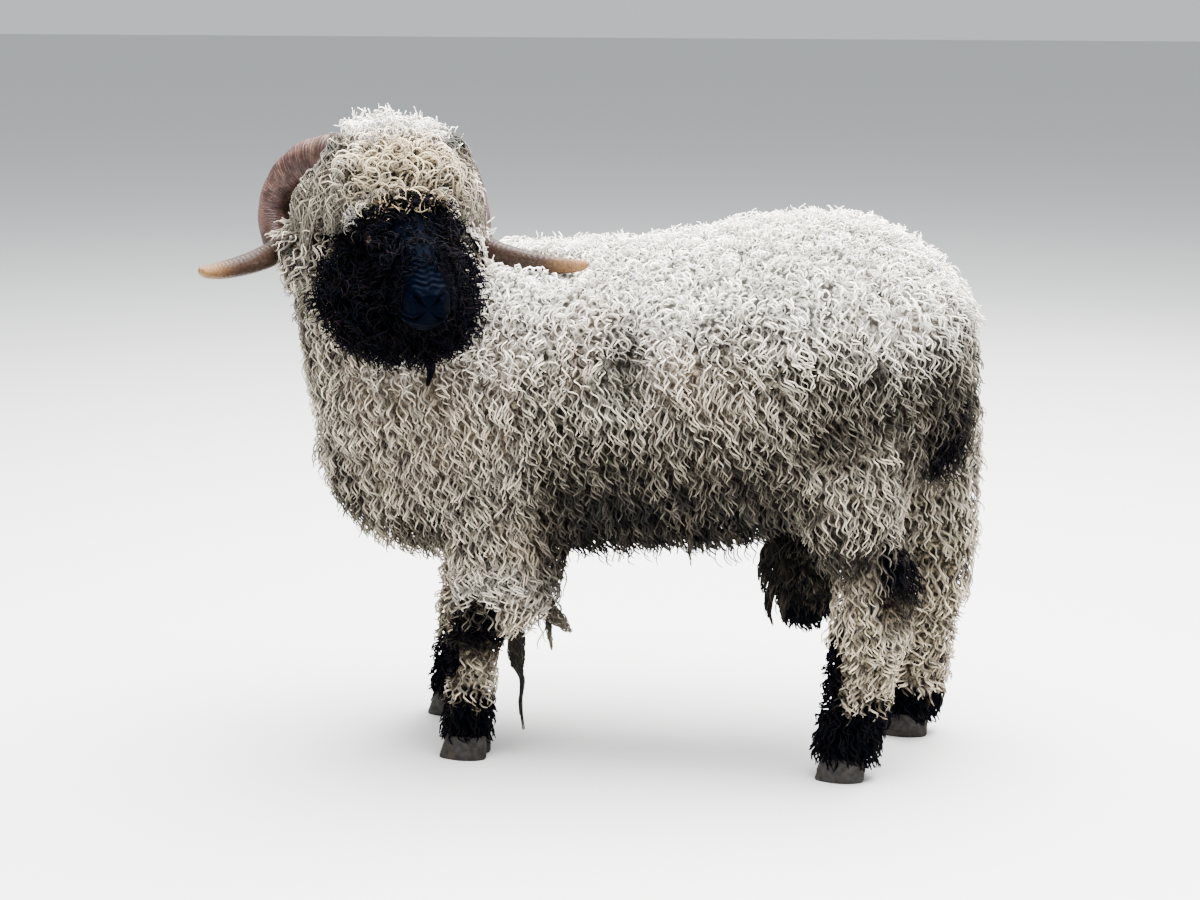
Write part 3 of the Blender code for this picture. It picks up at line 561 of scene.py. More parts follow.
def set_eye(points, sign):
    """Wraps the skin round an eyeball as two lids, and sinks it behind the opening."""
    outward, corner = eye_frame(sign)
    rel = points - eye_centre(sign)
    along = rel @ corner
    rise = rel @ (np.cross(corner, outward) * sign)
    depth = rel @ outward
    flat = np.hypot(along, rise)
    almond = (along / SLIT_HALF_LENGTH) ** 2 + ((rise + 0.0006) / SLIT_HALF_OPENING) ** 2
    lid = LID + 0.0012 * bell((almond - 1.25, 0.35))
    over_ball = np.sqrt(np.maximum((EYE_RADIUS + lid) ** 2 - flat**2, 0.0))
    raised = np.maximum(depth, np.where(flat < EYE_RADIUS + lid, over_ball, -1.0))
    fold = 0.0024 * bell((rise - 0.0150, 0.0030), (along, 0.016))
    crease = 0.0016 * bell((rise - 0.0115, 0.0014), (along, 0.015))
    tear = 0.0016 * bell((rise + 0.0120, 0.0022), (along - 0.004, 0.014))
    raised = raised + fold - crease - tear
    inner = np.sqrt(np.maximum((EYE_RADIUS - 0.0022) ** 2 - flat**2, 0.0))
    new_depth = np.where(almond < 1.0, np.minimum(inner, depth + 0.02), raised)
    near = (depth > -0.012) & (flat < 0.034)
    return points + outward * ((new_depth - depth) * near)[:, None]


def ear_rings(name, rows=36, columns=17):
    """Rings of a drooping, cupped, leaf-shaped ear."""
    side = 1 if name.endswith("left") else -1
    root, tip = [POLL + LEVEL * a + LEFT * (side * b) + Z * c for a, b, c in EARS[name]]
    along = unit(tip - root)
    outward = LEFT * side
    outward = unit(outward - along * (outward @ along))
    across = np.cross(along, outward)
    t = np.linspace(0.0, 1.0, rows)[:, None, None]
    half = EAR_HALF_WIDTH * (0.45 + 0.55 * np.sin(np.minimum(t * 1.6, 1.0) * math.pi / 2))
    half = half * np.sqrt(np.maximum(1.0 - np.maximum(t - 0.35, 0.0) / 0.65, 0.02))
    thick = 0.9 * EAR_THICKNESS * (1.0 - 0.45 * t)
    centre = root + (tip - root) * t + outward * (0.012 * np.sin(math.pi * t))
    s = np.linspace(-1.0, 1.0, columns)[None, :, None]
    lift = 0.55 * half * (1.0 - s * s)
    rim = np.sqrt(np.maximum(1.0 - s**4, 0.05))
    outer = centre + across * (half * s) + outward * (lift + 0.5 * thick * rim)
    inner = centre + across * (half * s * 0.96) + outward * (lift - 0.5 * thick * rim)
    return np.concatenate([outer, inner[:, ::-1]], 1)


def horn_size(t):
    """The radius of a horn along it."""
    return HORN_RADIUS * np.maximum(1.0 - t, 0.004) ** HORN_TAPER


def horn_line(side, t):
    """The middle line of a horn."""
    angle = HORN_START + HORN_TURN * t
    flick = ramp(HORN_FLICK_START, 1.0, t)
    spread = np.sin(np.minimum(t / HORN_SPREAD_END, 1.0) * math.pi / 2)
    out = HORN_ROOT_OUT + HORN_SPREAD * spread + HORN_FLICK[side] * flick
    ahead = HORN_CENTRE_AHEAD - HORN_CURL * np.sin(angle) + HORN_FORWARD * flick
    height = HORN_CENTRE_UP + HORN_CURL * np.cos(angle) - HORN_DROOP * flick
    return POLL + LEVEL * ahead[:, None] + LEFT * (side * out)[:, None] + Z * height[:, None]


def horn_rings(side):
    """Rings of a horn with its growth ridges, and how far along it each lies."""
    t = np.linspace(0.0, 1.0, HORN_RINGS)
    centres = horn_line(side, t)
    along = unit(np.gradient(centres, axis=0))
    across = unit(np.cross(along, LEFT))
    third = np.cross(across, along)
    theta = round_angles(HORN_SIDES)
    fade = np.clip(1.0 - 1.1 * t, 0.0, 1.0)[:, None]
    wobble = 0.30 * np.sin(2.0 * theta + 9.0 * t[:, None]) + 0.15 * np.sin(5.0 * theta)
    fine = np.sin(2.0 * math.pi * (58.0 * t[:, None] ** 0.9) + wobble)
    years = np.abs(np.sin(math.pi * (9.0 * t[:, None] ** 0.85) + 0.5 * wobble))
    shape = 1.0 + 0.035 * np.cos(2.0 * theta) + 0.030 * np.cos(3.0 * theta + 1.0)
    radius = horn_size(t)[:, None] * shape * (1.0 + fade * (0.014 * fine + 0.095 * (years**0.5 - 0.8)))
    wide = HORN_WIDE + (HORN_WIDE_TIP - HORN_WIDE) * t[:, None, None]
    ring = third[:, None, :] * wide * np.sin(theta)[None, :, None]
    ring = ring + across[:, None, :] * np.cos(theta)[None, :, None]
    return centres[:, None, :] + ring * radius[:, :, None], t


def claw_rings(leg, side, rows=26, columns=44):
    """Rings of one half of a cloven hoof, its toe towards -X."""
    x, y = HOOVES[leg]
    y += side * 0.5 * (CLAW_WIDTH + CLAW_SPLIT)
    share = np.linspace(0.0, 1.0, rows)[:, None]
    angle = round_angles(columns, 0.5)[None, :]
    fore = np.cos(angle)
    toe = 1.0 - 0.25 * np.maximum(-fore, 0.0)
    soft = 1.0 - 0.05 * bell((share, 0.05)) - 0.06 * ramp(0.9, 1.0, share)
    lines = 1.0 + 0.006 * np.sin(2.0 * math.pi * share * 9.0)
    grow = soft * lines
    return np.stack([
        x + 0.007 * share + 0.5 * CLAW_LENGTH * (1.0 - 0.16 * share) * fore * grow,
        y + 0.5 * CLAW_WIDTH * (1.0 - 0.10 * share) * toe * np.sin(angle) * grow,
        CLAW_TOP * share + 0.0 * angle,
    ], 2)


# Soiled patches on the wool, in the ram's frame: place and radii.
SOIL = mm([
    ((75, -250, 705), (36, 150, 62)), ((60, -250, 500), (75, 150, 70)),
    ((120, -200, 400), (200, 200, 65)), ((290, -200, 420), (100, 200, 70)),
    ((345, -200, 480), (55, 120, 60)), ((455, -220, 645), (125, 150, 68)),
    ((390, -240, 595), (85, 150, 50)), ((550, -150, 665), (80, 130, 75)),
    ((530, -140, 570), (50, 120, 80)), ((585, -50, 610), (70, 130, 160)),
    ((-470, -50, 760), (70, 80, 50)), ((300, 250, 520), (140, 150, 90)),
    ((480, 220, 620), (100, 150, 70)), ((-420, 0, 450), (80, 200, 70)),
    ((-452, -150, 815), (22, 120, 40)), ((-300, -140, 400), (85, 160, 55)),
])

# Heights of the black patches on the near and the far legs, and how far from the poll the
# wool belongs to the head.
FORE_KNEE_Z = 0.242
FAR_KNEE_Z = FORE_KNEE_Z - 0.125
HIND_HOCK_Z = 0.350
FORE_BOOT_Z = 0.122
HIND_BOOT_Z = 0.148
FAR_HIND_BOOT_Z = HIND_BOOT_Z - 0.056
HEAD_REACH = 0.36


def markings(points, normals):
    """How black, how soiled, how straw-coloured and how pale the coat is at these places, with painted shade
    in the soil and painted light from above in the pale.
    """
    ahead, left, up = head_coords(points)
    side = np.abs(left)
    x, y, z = points.T
    near_side = y < 0.0
    near_head = distance(points, POLL) < HEAD_REACH
    front_leg = (x < 0.0) & (z < 0.36)
    hind_leg = (x > 0.30) & (z < 0.45)

    # The black face, from the forelock to the jaw.
    start = 0.020 + 0.055 * (side / 0.12) ** 2
    jaw = ramp(start, start + 0.016, ahead) * fall(-0.025, 0.000, up - 0.35 * (ahead - 0.05))
    face = ramp(0.092, 0.104, ahead) * fall(0.046, 0.060, up)
    round_way = np.hypot((left - 0.012) / 0.140, (up + 0.075) / 0.150)
    black = np.maximum(jaw, face) * near_head * (round_way < 1.0)

    # The black boots, the near foreleg's knee and shin, and the near hind leg's hock and front.
    foot = np.where(front_leg, FORE_BOOT_Z, np.where(near_side, HIND_BOOT_Z, FAR_HIND_BOOT_Z))
    round_foot = np.arctan2(y - np.sign(y) * 0.12, x - np.where(front_leg, -0.2, 0.46))
    boots = fall(foot - 0.010, foot + 0.012, z + 0.012 * np.sin(17.0 * round_foot))
    knee_x = np.where(near_side, -0.205, -0.277)
    knee_z = np.where(near_side, FORE_KNEE_Z, FAR_KNEE_Z)
    knee = plateau(z - knee_z, 0.060) * fall(knee_x + 0.052, knee_x + 0.072, x)
    shin = fall(knee_x - 0.012, knee_x + 0.006, x) * (z < knee_z) * ramp(0.138, 0.160, z)
    hock_x = np.where(near_side, 0.470, 0.560)
    hock = plateau(z - HIND_HOCK_Z - 0.020, 0.074) * ramp(hock_x - 0.006, hock_x + 0.014, x)
    hind_front = fall(hock_x - 0.050, hock_x - 0.032, x) * (z < 0.262)
    sack = plateau(x - 0.355, 0.075, 6) * (np.abs(y) < 0.060) * (z < 0.40)
    matted = blob(points, (0.568, -0.070, 0.545), (0.066, 0.095, 0.135))
    legs = [
        boots * (front_leg | hind_leg),
        np.maximum(knee, shin) * front_leg,
        np.maximum(hock, hind_front) * near_side * hind_leg,
    ]
    black = np.maximum.reduce([black, *legs, matted, 0.58 * sack])

    # Soil in patches and on the shin; painted shade low on the flanks and under the belly, mixed with the
    # soil; and the belly's near-black hem, soil and painted shade together.
    soil = sack
    for place, radii in SOIL:
        soil = np.maximum(soil, 0.92 * blob(points, place, radii))
    above_hock = plateau(z - 0.404, 0.048) * (x > 0.30) * near_side * fall(hock_x - 0.01, hock_x + 0.03, x)
    between_legs = ramp(-0.12, -0.05, x) * fall(0.29, 0.39, x)
    # Painted shade: darker lower on the body, most between the legs.
    under = 0.99 * fall(0.50, 0.72, z) * (0.22 + 0.78 * between_legs) * ramp(0.24, 0.34, z)
    # The hem under the belly, darkened to near black: soil and painted shade together.
    hem = fall(0.450, 0.525, z) * between_legs * ramp(0.30, 0.34, z)
    black = np.maximum(black, 0.53 * hem)

    # The forelock: straw-coloured in its middle, with painted shade on its front, deepest towards the horns.
    right_bunch = fall(0.045, 0.085, distance(points, bunch_centre(0)))
    facing = ramp(0.10, 0.55, normals @ LEVEL) * ramp(-0.01, 0.03, up) * near_head
    forelock_shade = facing * (0.10 + 0.36 * ramp(0.035, 0.085, side))
    soil = np.maximum.reduce([soil, above_hock, under, 0.30 * right_bunch, forelock_shade])
    straw = np.maximum.reduce([
        0.85 * facing * fall(0.05, 0.10, side),
        0.25 * ramp(0.45, 0.30, z),
        0.5 * blob(points, (0.107, -0.17, 0.805), (0.045, 0.10, 0.030), 1),
    ])

    # Painted light from above: the back and the crown paler where they face up, with a cloudy edge; and paler
    # wool over the knees.
    cloud = np.sin(13.0 * x + 7.0 * z + 2.0 * y) * np.sin(17.0 * z - 6.0 * x + 1.0)
    cloud = cloud + 0.6 * np.sin(31.0 * x - 19.0 * z + 4.0 * y)
    pale = ramp(-0.25, 0.75, normals[:, 2] + 0.12 * cloud) * ramp(0.58, 0.82, z + 0.03 * cloud)
    crown = 0.9 * ramp(0.0, 0.5, normals[:, 2]) * ramp(0.05, 0.10, up) * near_head * (1.0 - facing)
    pale = np.maximum(pale * (1.0 - 0.85 * facing), crown) * (1.0 - right_bunch)
    pale = np.maximum(pale, 0.45 * front_leg * plateau(z - 0.325, 0.040))
    return np.clip(np.stack([black, soil, straw, pale], 1), 0.0, 1.0)


def lie_of(points, normals):
    """The way the locks hang at these places, along the surface."""
    ahead, left, up = head_coords(points)
    near_head = (distance(points, POLL) < 0.30) & (ahead > -0.13) & (np.abs(left) < 0.18)
    outward = np.sign(points[:, 1]) * 0.55 * np.maximum(normals[:, 2], 0.0)
    cap = LEVEL * 0.9 + unit(points - POLL) * 0.9 - Z * 0.9
    ruff = LEVEL * 0.55 - Z + LEFT * (0.4 * np.sign(left))[:, None]
    face = LEFT * (0.9 * np.clip(left / 0.05, -1.0, 1.0))[:, None] + NOSEWARD * 0.35 - Z * 0.7
    rules = [
        (near_head & (up > -0.02), cap),
        (near_head & (up <= -0.02) & (ahead > -0.03), ruff),
        (near_head & (ahead > 0.10) & (up > -0.05), face),
    ]
    for number in BUNCHES_LOWER:
        hanging = LEFT * (0.55 * BUNCH_SIDES[number]) + LEVEL * 0.15 - Z * 0.9
        rules.append((near_bunch(points, number), hanging))
    away = X * 0.28 - Z + Y * outward[:, None]
    for here, way in rules:
        away = np.where(here[:, None], way, away)
    return unit(away - normals * np.einsum("ij,ij->i", away, normals)[:, None])


# Kinds of lock: locks to the square metre, length, how much it stands out at its tip, curl
# radius, how deep the curl is for its width, turns, half width, rings.
KINDS = {
    "back": (11250, 0.038, 0.46, 0.0056, 0.90, 1.3, 0.0014, 8),
    "shoulder": (9100, 0.046, 0.30, 0.0050, 0.85, 1.6, 0.0014, 11),
    "flank": (8150, 0.054, 0.17, 0.0042, 0.85, 1.7, 0.0014, 13),
    "belly": (6000, 0.050, 0.20, 0.0042, 0.60, 1.4, 0.0019, 8),
    "drip": (2600, 0.074, 0.05, 0.0042, 0.80, 1.9, 0.0013, 12),
    "leg_top": (8000, 0.052, 0.16, 0.0037, 0.85, 1.6, 0.0015, 12),
    "cuff": (8400, 0.044, 0.24, 0.0058, 0.95, 1.6, 0.0015, 11),
    "leg": (12500, 0.030, 0.34, 0.0050, 0.85, 1.2, 0.0016, 8),
    "boot": (13000, 0.026, 0.22, 0.0030, 0.80, 0.9, 0.0018, 6),
    "tail": (8500, 0.050, 0.20, 0.0042, 0.80, 1.5, 0.0016, 10),
    "sack": (9000, 0.020, 0.06, 0.0022, 0.80, 0.8, 0.0014, 6),
    "cap": (14500, 0.044, 0.46, 0.0072, 0.95, 1.4, 0.0014, 10),
    "fringe": (13500, 0.058, 0.60, 0.0098, 0.95, 1.3, 0.0015, 12),
    "bunch": (14000, 0.050, 0.12, 0.0046, 0.60, 1.7, 0.0014, 11),
    "ruff": (13000, 0.053, 0.50, 0.0074, 0.90, 1.5, 0.0013, 11),
    "brow": (17000, 0.040, 0.50, 0.0062, 0.90, 1.5, 0.0012, 10),
    "nose": (31000, 0.017, 0.34, 0.0034, 0.90, 0.9, 0.0009, 6),
    "ear": (8000, 0.022, 0.15, 0.0035, 0.90, 0.9, 0.0014, 6),
}

# Where the fore part of the coat ends, and the kinds of lock that are in pieces of their own.
FORE_END_X = 0.05
OTHER_WOOL = {
    "tail": "wool_tail",
    "sack": "wool_scrotum",
    "cap": "wool_cap",
    "fringe": "wool_cap",
    "ruff": "wool_ruff",
    "bunch": "wool_bunches",
}
BLACK_PIECES = ("wool_ruff", "wool_brow", "wool_nose", "wool_ears", "wool_matted_beard")

# How deep a lock starts under the skin, and the floor's clearance.
ROOT_DEPTH = 0.004
CLEAR_OF_FLOOR = 0.0015

# Pieces with locks nearer the poll than this are kept clear of the horns. Where a whole lock
# doesn't fit, a shortened one may. Some kinds are laid over each horn's root, as far along it
# as LAID_TO says.
NEAR_HORNS = 0.45
SHORTENED = 0.6
HORN_SAMPLES = 60
LAID_KINDS = ("cap", "fringe", "bunch", "ruff", "brow")
LAID_TO = {-1: 0.08, 1: 0.60}

# The unwrap: the size of one lock on it, and the axes that the parts are unwrapped round, each
# a place, the way along and two ways across.
UNWRAP_PATCH = 0.003
TRUNK_AXIS = (np.array([0.0, 0.0, 0.62]), X, Z, Y)
HEAD_AXIS = (head_point(0.0, 0.0, -0.04), NOSEWARD, UP, LEFT)
AXES = {
    "tail": (np.array([0.57, 0.0, 0.6]), Z, X, Y),
    "scrotum": (np.array([0.355, 0.0, 0.3]), Z, X, Y),
    **dict.fromkeys(("back", "shoulder", "flank", "belly"), TRUNK_AXIS),
}


def axis_of(piece):
    """The axis that a piece of the coat is unwrapped round."""
    name = piece.removeprefix("wool_").removeprefix("matted_")
    if name in LEGS:
        return leg_rows(*LEGS[name])[5, :3], Z, X, Y
    return AXES.get(name.split("_")[0], HEAD_AXIS)


def last_rule(rules, name, count):
    """The name of the last rule that holds at each place, and the given one where none does."""
    names = np.full(count, name, "<U8")
    for name, here in rules:
        names[here] = name
    return names


def kind_of(points, normals):
    """The kind of lock that grows at each place of the body, and where drips hang among them."""
    ahead, left, up = head_coords(points)
    x, y, z = points.T
    width = np.abs(y)
    slope = normals[:, 2] + np.random.default_rng(SEED).uniform(-0.20, 0.20, len(points))
    inner_leg = (z < 0.50) & (z > 0.20) & (normals[:, 1] * np.sign(y) < -0.45) & (width < 0.14)
    head = (np.abs(left) < 0.15) & (ahead > -0.13) & (up > -0.21) & (z > 0.70)
    head &= distance(points, POLL) < HEAD_REACH
    rules = [
        ("shoulder", slope > 0.20),
        ("back", slope > 0.58),
        ("belly", normals[:, 2] < -0.60),
        ("leg_top", (z < 0.42) & (width > 0.02)),
        ("belly", (z < 0.42) & (x > -0.10) & (x < 0.32) | inner_leg),
        ("cuff", (z < 0.36) & (x < 0.0)),
        ("leg", z < 0.27),
        ("boot", z < 0.105),
        ("tail", (x > TAIL[1][0] - 0.01) & (width < TAIL[1][2]) & (z > 0.47)),
        ("sack", (np.abs(x - 0.355) < 0.075) & (width < 0.058) & (z < 0.37)),
        ("cap", head & (up > -0.02)),
        ("fringe", head & (up > 0.00) & (normals @ LEVEL > 0.35) & (ahead > 0.03)),
        ("ruff", head & (up <= -0.02) & (ahead > -0.03)),
        *[("bunch", near_bunch(points, number)) for number in BUNCHES_LOWER],
        ("", z < 0.030),
    ]
    under = (z < 0.43) & (x > -0.09) & (x < 0.34) & (normals[:, 2] < -0.15) & (width > 0.08)
    return last_rule(rules, "flank", len(points)), under


def face_kind_of(points):
    """The kind of lock at each place of the bare head."""
    ahead, left, up = head_coords(points)
    side = np.abs(left)
    naked = (ahead > 0.240 + 0.8 * side) & (up > -0.045) | (ahead > 0.276)
    eye = np.minimum(*[distance(points, eye_centre(sign)) for sign in (-1, 1)])
    rules = [
        ("brow", (ahead > 0.060) & (ahead < 0.222)),
        ("nose", (ahead > 0.140) & (ahead < 0.208) & (side < 0.024)),
        ("nose", (ahead >= 0.216) & ~naked),
        ("nose", eye < EYE_RADIUS + 0.006),
        ("", eye < EYE_RADIUS + 0.004),
        ("", (np.abs(up - mouth_height(ahead)) < 0.008) & (ahead > MOUTH_BACK)),
    ]
    return last_rule(rules, "", len(points))


def scatter(points, faces, normals, chosen, density, rng):
    """Roots spread evenly over the chosen triangles: places and normals."""
    faces = faces[chosen]
    a, b, c = corners(points, faces)
    area = 0.5 * np.linalg.norm(np.cross(b - a, c - a), axis=1)
    count = int(area.sum() * density)
    if count == 0:
        return np.zeros((0, 3)), np.zeros((0, 3))
    total = np.cumsum(area)
    picks = np.searchsorted(total, (np.arange(count) + rng.random(count)) / count * total[-1])
    picks = np.minimum(picks, len(faces) - 1)
    u = rng.random((count, 1))
    v = rng.random((count, 1))
    over = u + v > 1.0
    u, v = np.where(over, 1.0 - u, u), np.where(over, 1.0 - v, v)
    w = 1.0 - u - v
    place, normal = [
        of_point[faces[picks, 0]] * w + of_point[faces[picks, 1]] * u + of_point[faces[picks, 2]] * v
        for of_point in (points, normals)
    ]
    return place, unit(normal)


def groups_of(roots, rng, share=0.22):
    """For each root, the number of the staple of wool that it belongs to, and its middle."""
    count = max(int(len(roots) * share), 1)
    heads = roots[rng.choice(len(roots), count, replace=False)]
    tree = KDTree(count)
    for i, place in enumerate(heads):
        tree.insert(place, i)
    tree.balance()
    return np.array([tree.find(place)[1] for place in roots]), heads


def lock_paths(roots, normals, lie, kind, rng):
    """Paths of curled locks: places along each, its uncurled line, and the share along."""
    _, length, out, curl, depth, turns, _, rings = KINDS[kind]
    count = len(roots)
    member, heads = groups_of(roots, rng)
    group = rng.random((len(heads), 6))[member]
    own = rng.random((count, 6))
    t = np.concatenate([[0.0, 0.18], np.linspace(0.34, 1.0, rings - 2)])

    # The way a lock leaves the skin, and the way it ends up lying.
    across = np.cross(lie, normals)
    veer = (0.20 + 1.1 * out) * (group[:, :1] - 0.5) + (0.25 + 1.4 * out) * (own[:, :1] - 0.5)
    lie = unit(lie + across * veer)
    across = unit(np.cross(lie, normals))
    stand = out * (0.60 + 0.8 * group[:, 1:2]) + 0.20 * (own[:, 1:2] - 0.5)
    sag = 1.1 * np.maximum(-normals[:, 2:], 0.0) ** 2
    final = unit(lie * np.sqrt(np.maximum(1.0 - stand**2, 0.05)) + normals * (stand + sag))
    w = ramp(0.0, 0.50, t)[None, :, None]
    way = unit(normals[:, None, :] * (1.0 - w) + final[:, None, :] * w)

    # Its line, drawn towards the middle of its staple.
    length = length * (0.80 + 0.25 * group[:, 2:3] + 0.25 * own[:, 2:3])
    steps = 0.5 * (way[:, 1:] + way[:, :-1]) * np.diff(t)[None, :, None] * length[:, None, :]
    path = np.concatenate([np.zeros((count, 1, 3)), np.cumsum(steps, axis=1)], 1)
    path += roots[:, None, :] - normals[:, None, :] * ROOT_DEPTH
    pull = (heads[member] - roots)[:, None, :] * (0.35 * t[None, :, None] ** 1.5)
    path += pull - normals[:, None, :] * np.einsum("ijk,ik->ij", pull, normals)[:, :, None]
    base = path.copy()

    # Its curl, a flattened helix, right-handed or left-handed by staple.
    turned = turns * (0.90 + 0.2 * own[:, 3:4]) * t[None, :] ** 1.2 + group[:, 4:5] + 0.70 * own[:, 4:5]
    hand = np.where(group[:, 3] < 0.5, -1.0, 1.0)
    angle = 2.0 * math.pi * turned * hand[:, None]
    swell = curl * (0.80 + 0.4 * own[:, 5:6]) * ramp(0.0, 0.28, t)[None, :] * (0.80 + 0.35 * t[None, :])
    path += across[:, None, :] * (swell * np.cos(angle))[:, :, None]
    path += np.cross(way, across[:, None, :]) * (depth * swell * np.sin(angle))[:, :, None]
    return path, base, t, group[:, 5], own[:, 0]


def over_horns(path, laid_to):
    """The paths laid over the roots of both horns as far as laid_to, and which of them fit there."""
    t = np.linspace(0.0, 1.0, HORN_SAMPLES)
    before = np.linalg.norm(np.diff(path, axis=1), axis=2)
    fits = np.ones(len(path), bool)
    for side in (-1, 1):
        for place, radius, share in zip(horn_line(side, t), horn_size(t), t):
            away = path - place
            far = np.maximum(np.linalg.norm(away, axis=2, keepdims=True), 1e-6)
            fits &= far[:, 0, 0] > 0.9 * radius
            need = 1.14 * radius + 0.003
            caught = far < need
            if share > laid_to[side]:
                fits &= ~caught.any((1, 2))
            else:
                path = path + np.where(caught, away / far * (need - far), 0.0)
    after = np.linalg.norm(np.diff(path, axis=1), axis=2)
    fits &= (after.sum(1) < 1.45 * before.sum(1)) & (after < 3.0 * before + 0.003).all(1)
    return path, fits


def tubes(path, t, half_width, rng):
    """Closed, tapered, three-sided tubes along the paths: points, triangles, and how each was made."""
    count, rings = path.shape[:2]
    along = unit(np.gradient(path, axis=1))
    start = np.where(np.abs(along[:, 0, 2:3]) < 0.8, Z, X)
    side = unit(np.cross(along[:, 0], start))
    sides = np.empty_like(path)
    for i in range(rings):
        side = unit(side - along[:, i] * np.einsum("ij,ij->i", side, along[:, i])[:, None])
        sides[:, i] = side
    third = np.cross(along, sides)
    shape = 0.80 + 0.35 * np.sin(math.pi * t) - 0.26 * t**4
    width = half_width * (0.75 + 0.5 * rng.random(count))[:, None] * shape[None, :]
    angle = round_angles(3)
    c, s = np.cos(angle), np.sin(angle)
    ring = sides[:, :, None, :] * c[None, None, :, None] + third[:, :, None, :] * s[None, None, :, None]
    body = path[:, :, None, :] + ring * width[:, :, None, None]
    tip = path[:, -1] + along[:, -1] * (1.3 * width[:, -1:])
    points = np.concatenate([body.reshape(count, rings * 3, 3), tip[:, None, :]], 1)
    base, top, each = 3 * (rings - 1), 3 * rings, 3 * rings + 1
    cap = [[base, base + 1, top], [base + 1, base + 2, top], [base + 2, base, top], [2, 1, 0]]
    faces = np.concatenate([grid_triangles(rings, 3), cap])
    faces = (faces[None] + each * np.arange(count)[:, None, None]).reshape(-1, 3)
    share = np.concatenate([np.repeat(t, 3), [1.0]])
    round_x, round_y = [np.concatenate([np.tile(v, rings), [0.0]]) for v in (c, s)]
    return points.reshape(-1, 3), faces, share, round_x, round_y


def unwrap_places(points, axis):
    """Places of roots on an unwrap of the skin: the angle round its axis and the way along it."""
    centre, along_way, first, second = axis
    rel = points - centre
    angle = np.arctan2(rel @ second, rel @ first) / (2.0 * math.pi) + 0.5
    along = rel @ along_way
    span = max(along.max() - along.min(), 1e-6)
    return np.stack([0.02 + 0.95 * angle, 0.02 + 0.95 * (along - along.min()) / span], 1)


def coat_piece(roots, normals, kind, axis, rng):
    """Locks of one kind at these roots, with their values and their unwrap."""
    path, base, t, group_tone, own_tone = lock_paths(roots, normals, lie_of(roots, normals), kind, rng)
    tone = 0.35 * group_tone + 0.65 * own_tone
    if distance(roots, POLL).min() < NEAR_HORNS:
        short, short_base = [v[:, :1] + SHORTENED * (v - v[:, :1]) for v in (path, base)]
        laid_to = LAID_TO if kind in LAID_KINDS else {-1: -1.0, 1: -1.0}
        laid, fits = over_horns(path, laid_to)
        short_laid, short_fits = over_horns(short, laid_to)
        whole = fits[:, None, None]
        base = np.where(whole, base + laid - path, short_base + short_laid - short)
        path = np.where(whole, laid, short_laid)
        keep = fits | short_fits
        roots, normals, path, base, tone = [v[keep] for v in (roots, normals, path, base, tone)]
    return piece_of(path, base, t, roots, normals, tone, markings(roots, normals), kind, axis, rng)


def piece_of(path, base, t, roots, normals, tone, marks, kind, axis, rng):
    """Tubes along the paths, with the values and the unwrap of each lock."""
    _, length, _, curl, depth, _, half_width, _ = KINDS[kind]
    points, faces, share, round_x, round_y = tubes(path, t, half_width, rng)
    count, each = len(roots), len(share)
    round_x, round_y, share = [np.tile(v, count) for v in (round_x, round_y, share)]
    fibre_start = np.repeat(rng.random(count) * 50.0, each)
    # Painted shade: each lock darker on its side towards the skin and lighter on its outer side.
    spine = np.concatenate([np.repeat(base, 3, 1), base[:, -1:]], 1).reshape(-1, 3)
    rise = np.einsum("ij,ij->i", points - spine, np.repeat(normals, each, 0))
    crest_shade = np.clip(0.5 + 0.5 * rise / (curl * depth + half_width), 0.0, 1.0)
    patch = np.stack([round_x * 0.5, share - 0.5], 1) * UNWRAP_PATCH
    return {
        "points": points,
        "faces": faces,
        "marks": np.repeat(marks, each, 0),
        "fibre": np.stack([round_x, round_y, share * 16.0 * length + fibre_start], 1),
        "values": np.stack([share, np.repeat(tone, each), crest_shade], 1),
        "flat": np.repeat(unwrap_places(roots, axis), each, 0) + patch,
    }


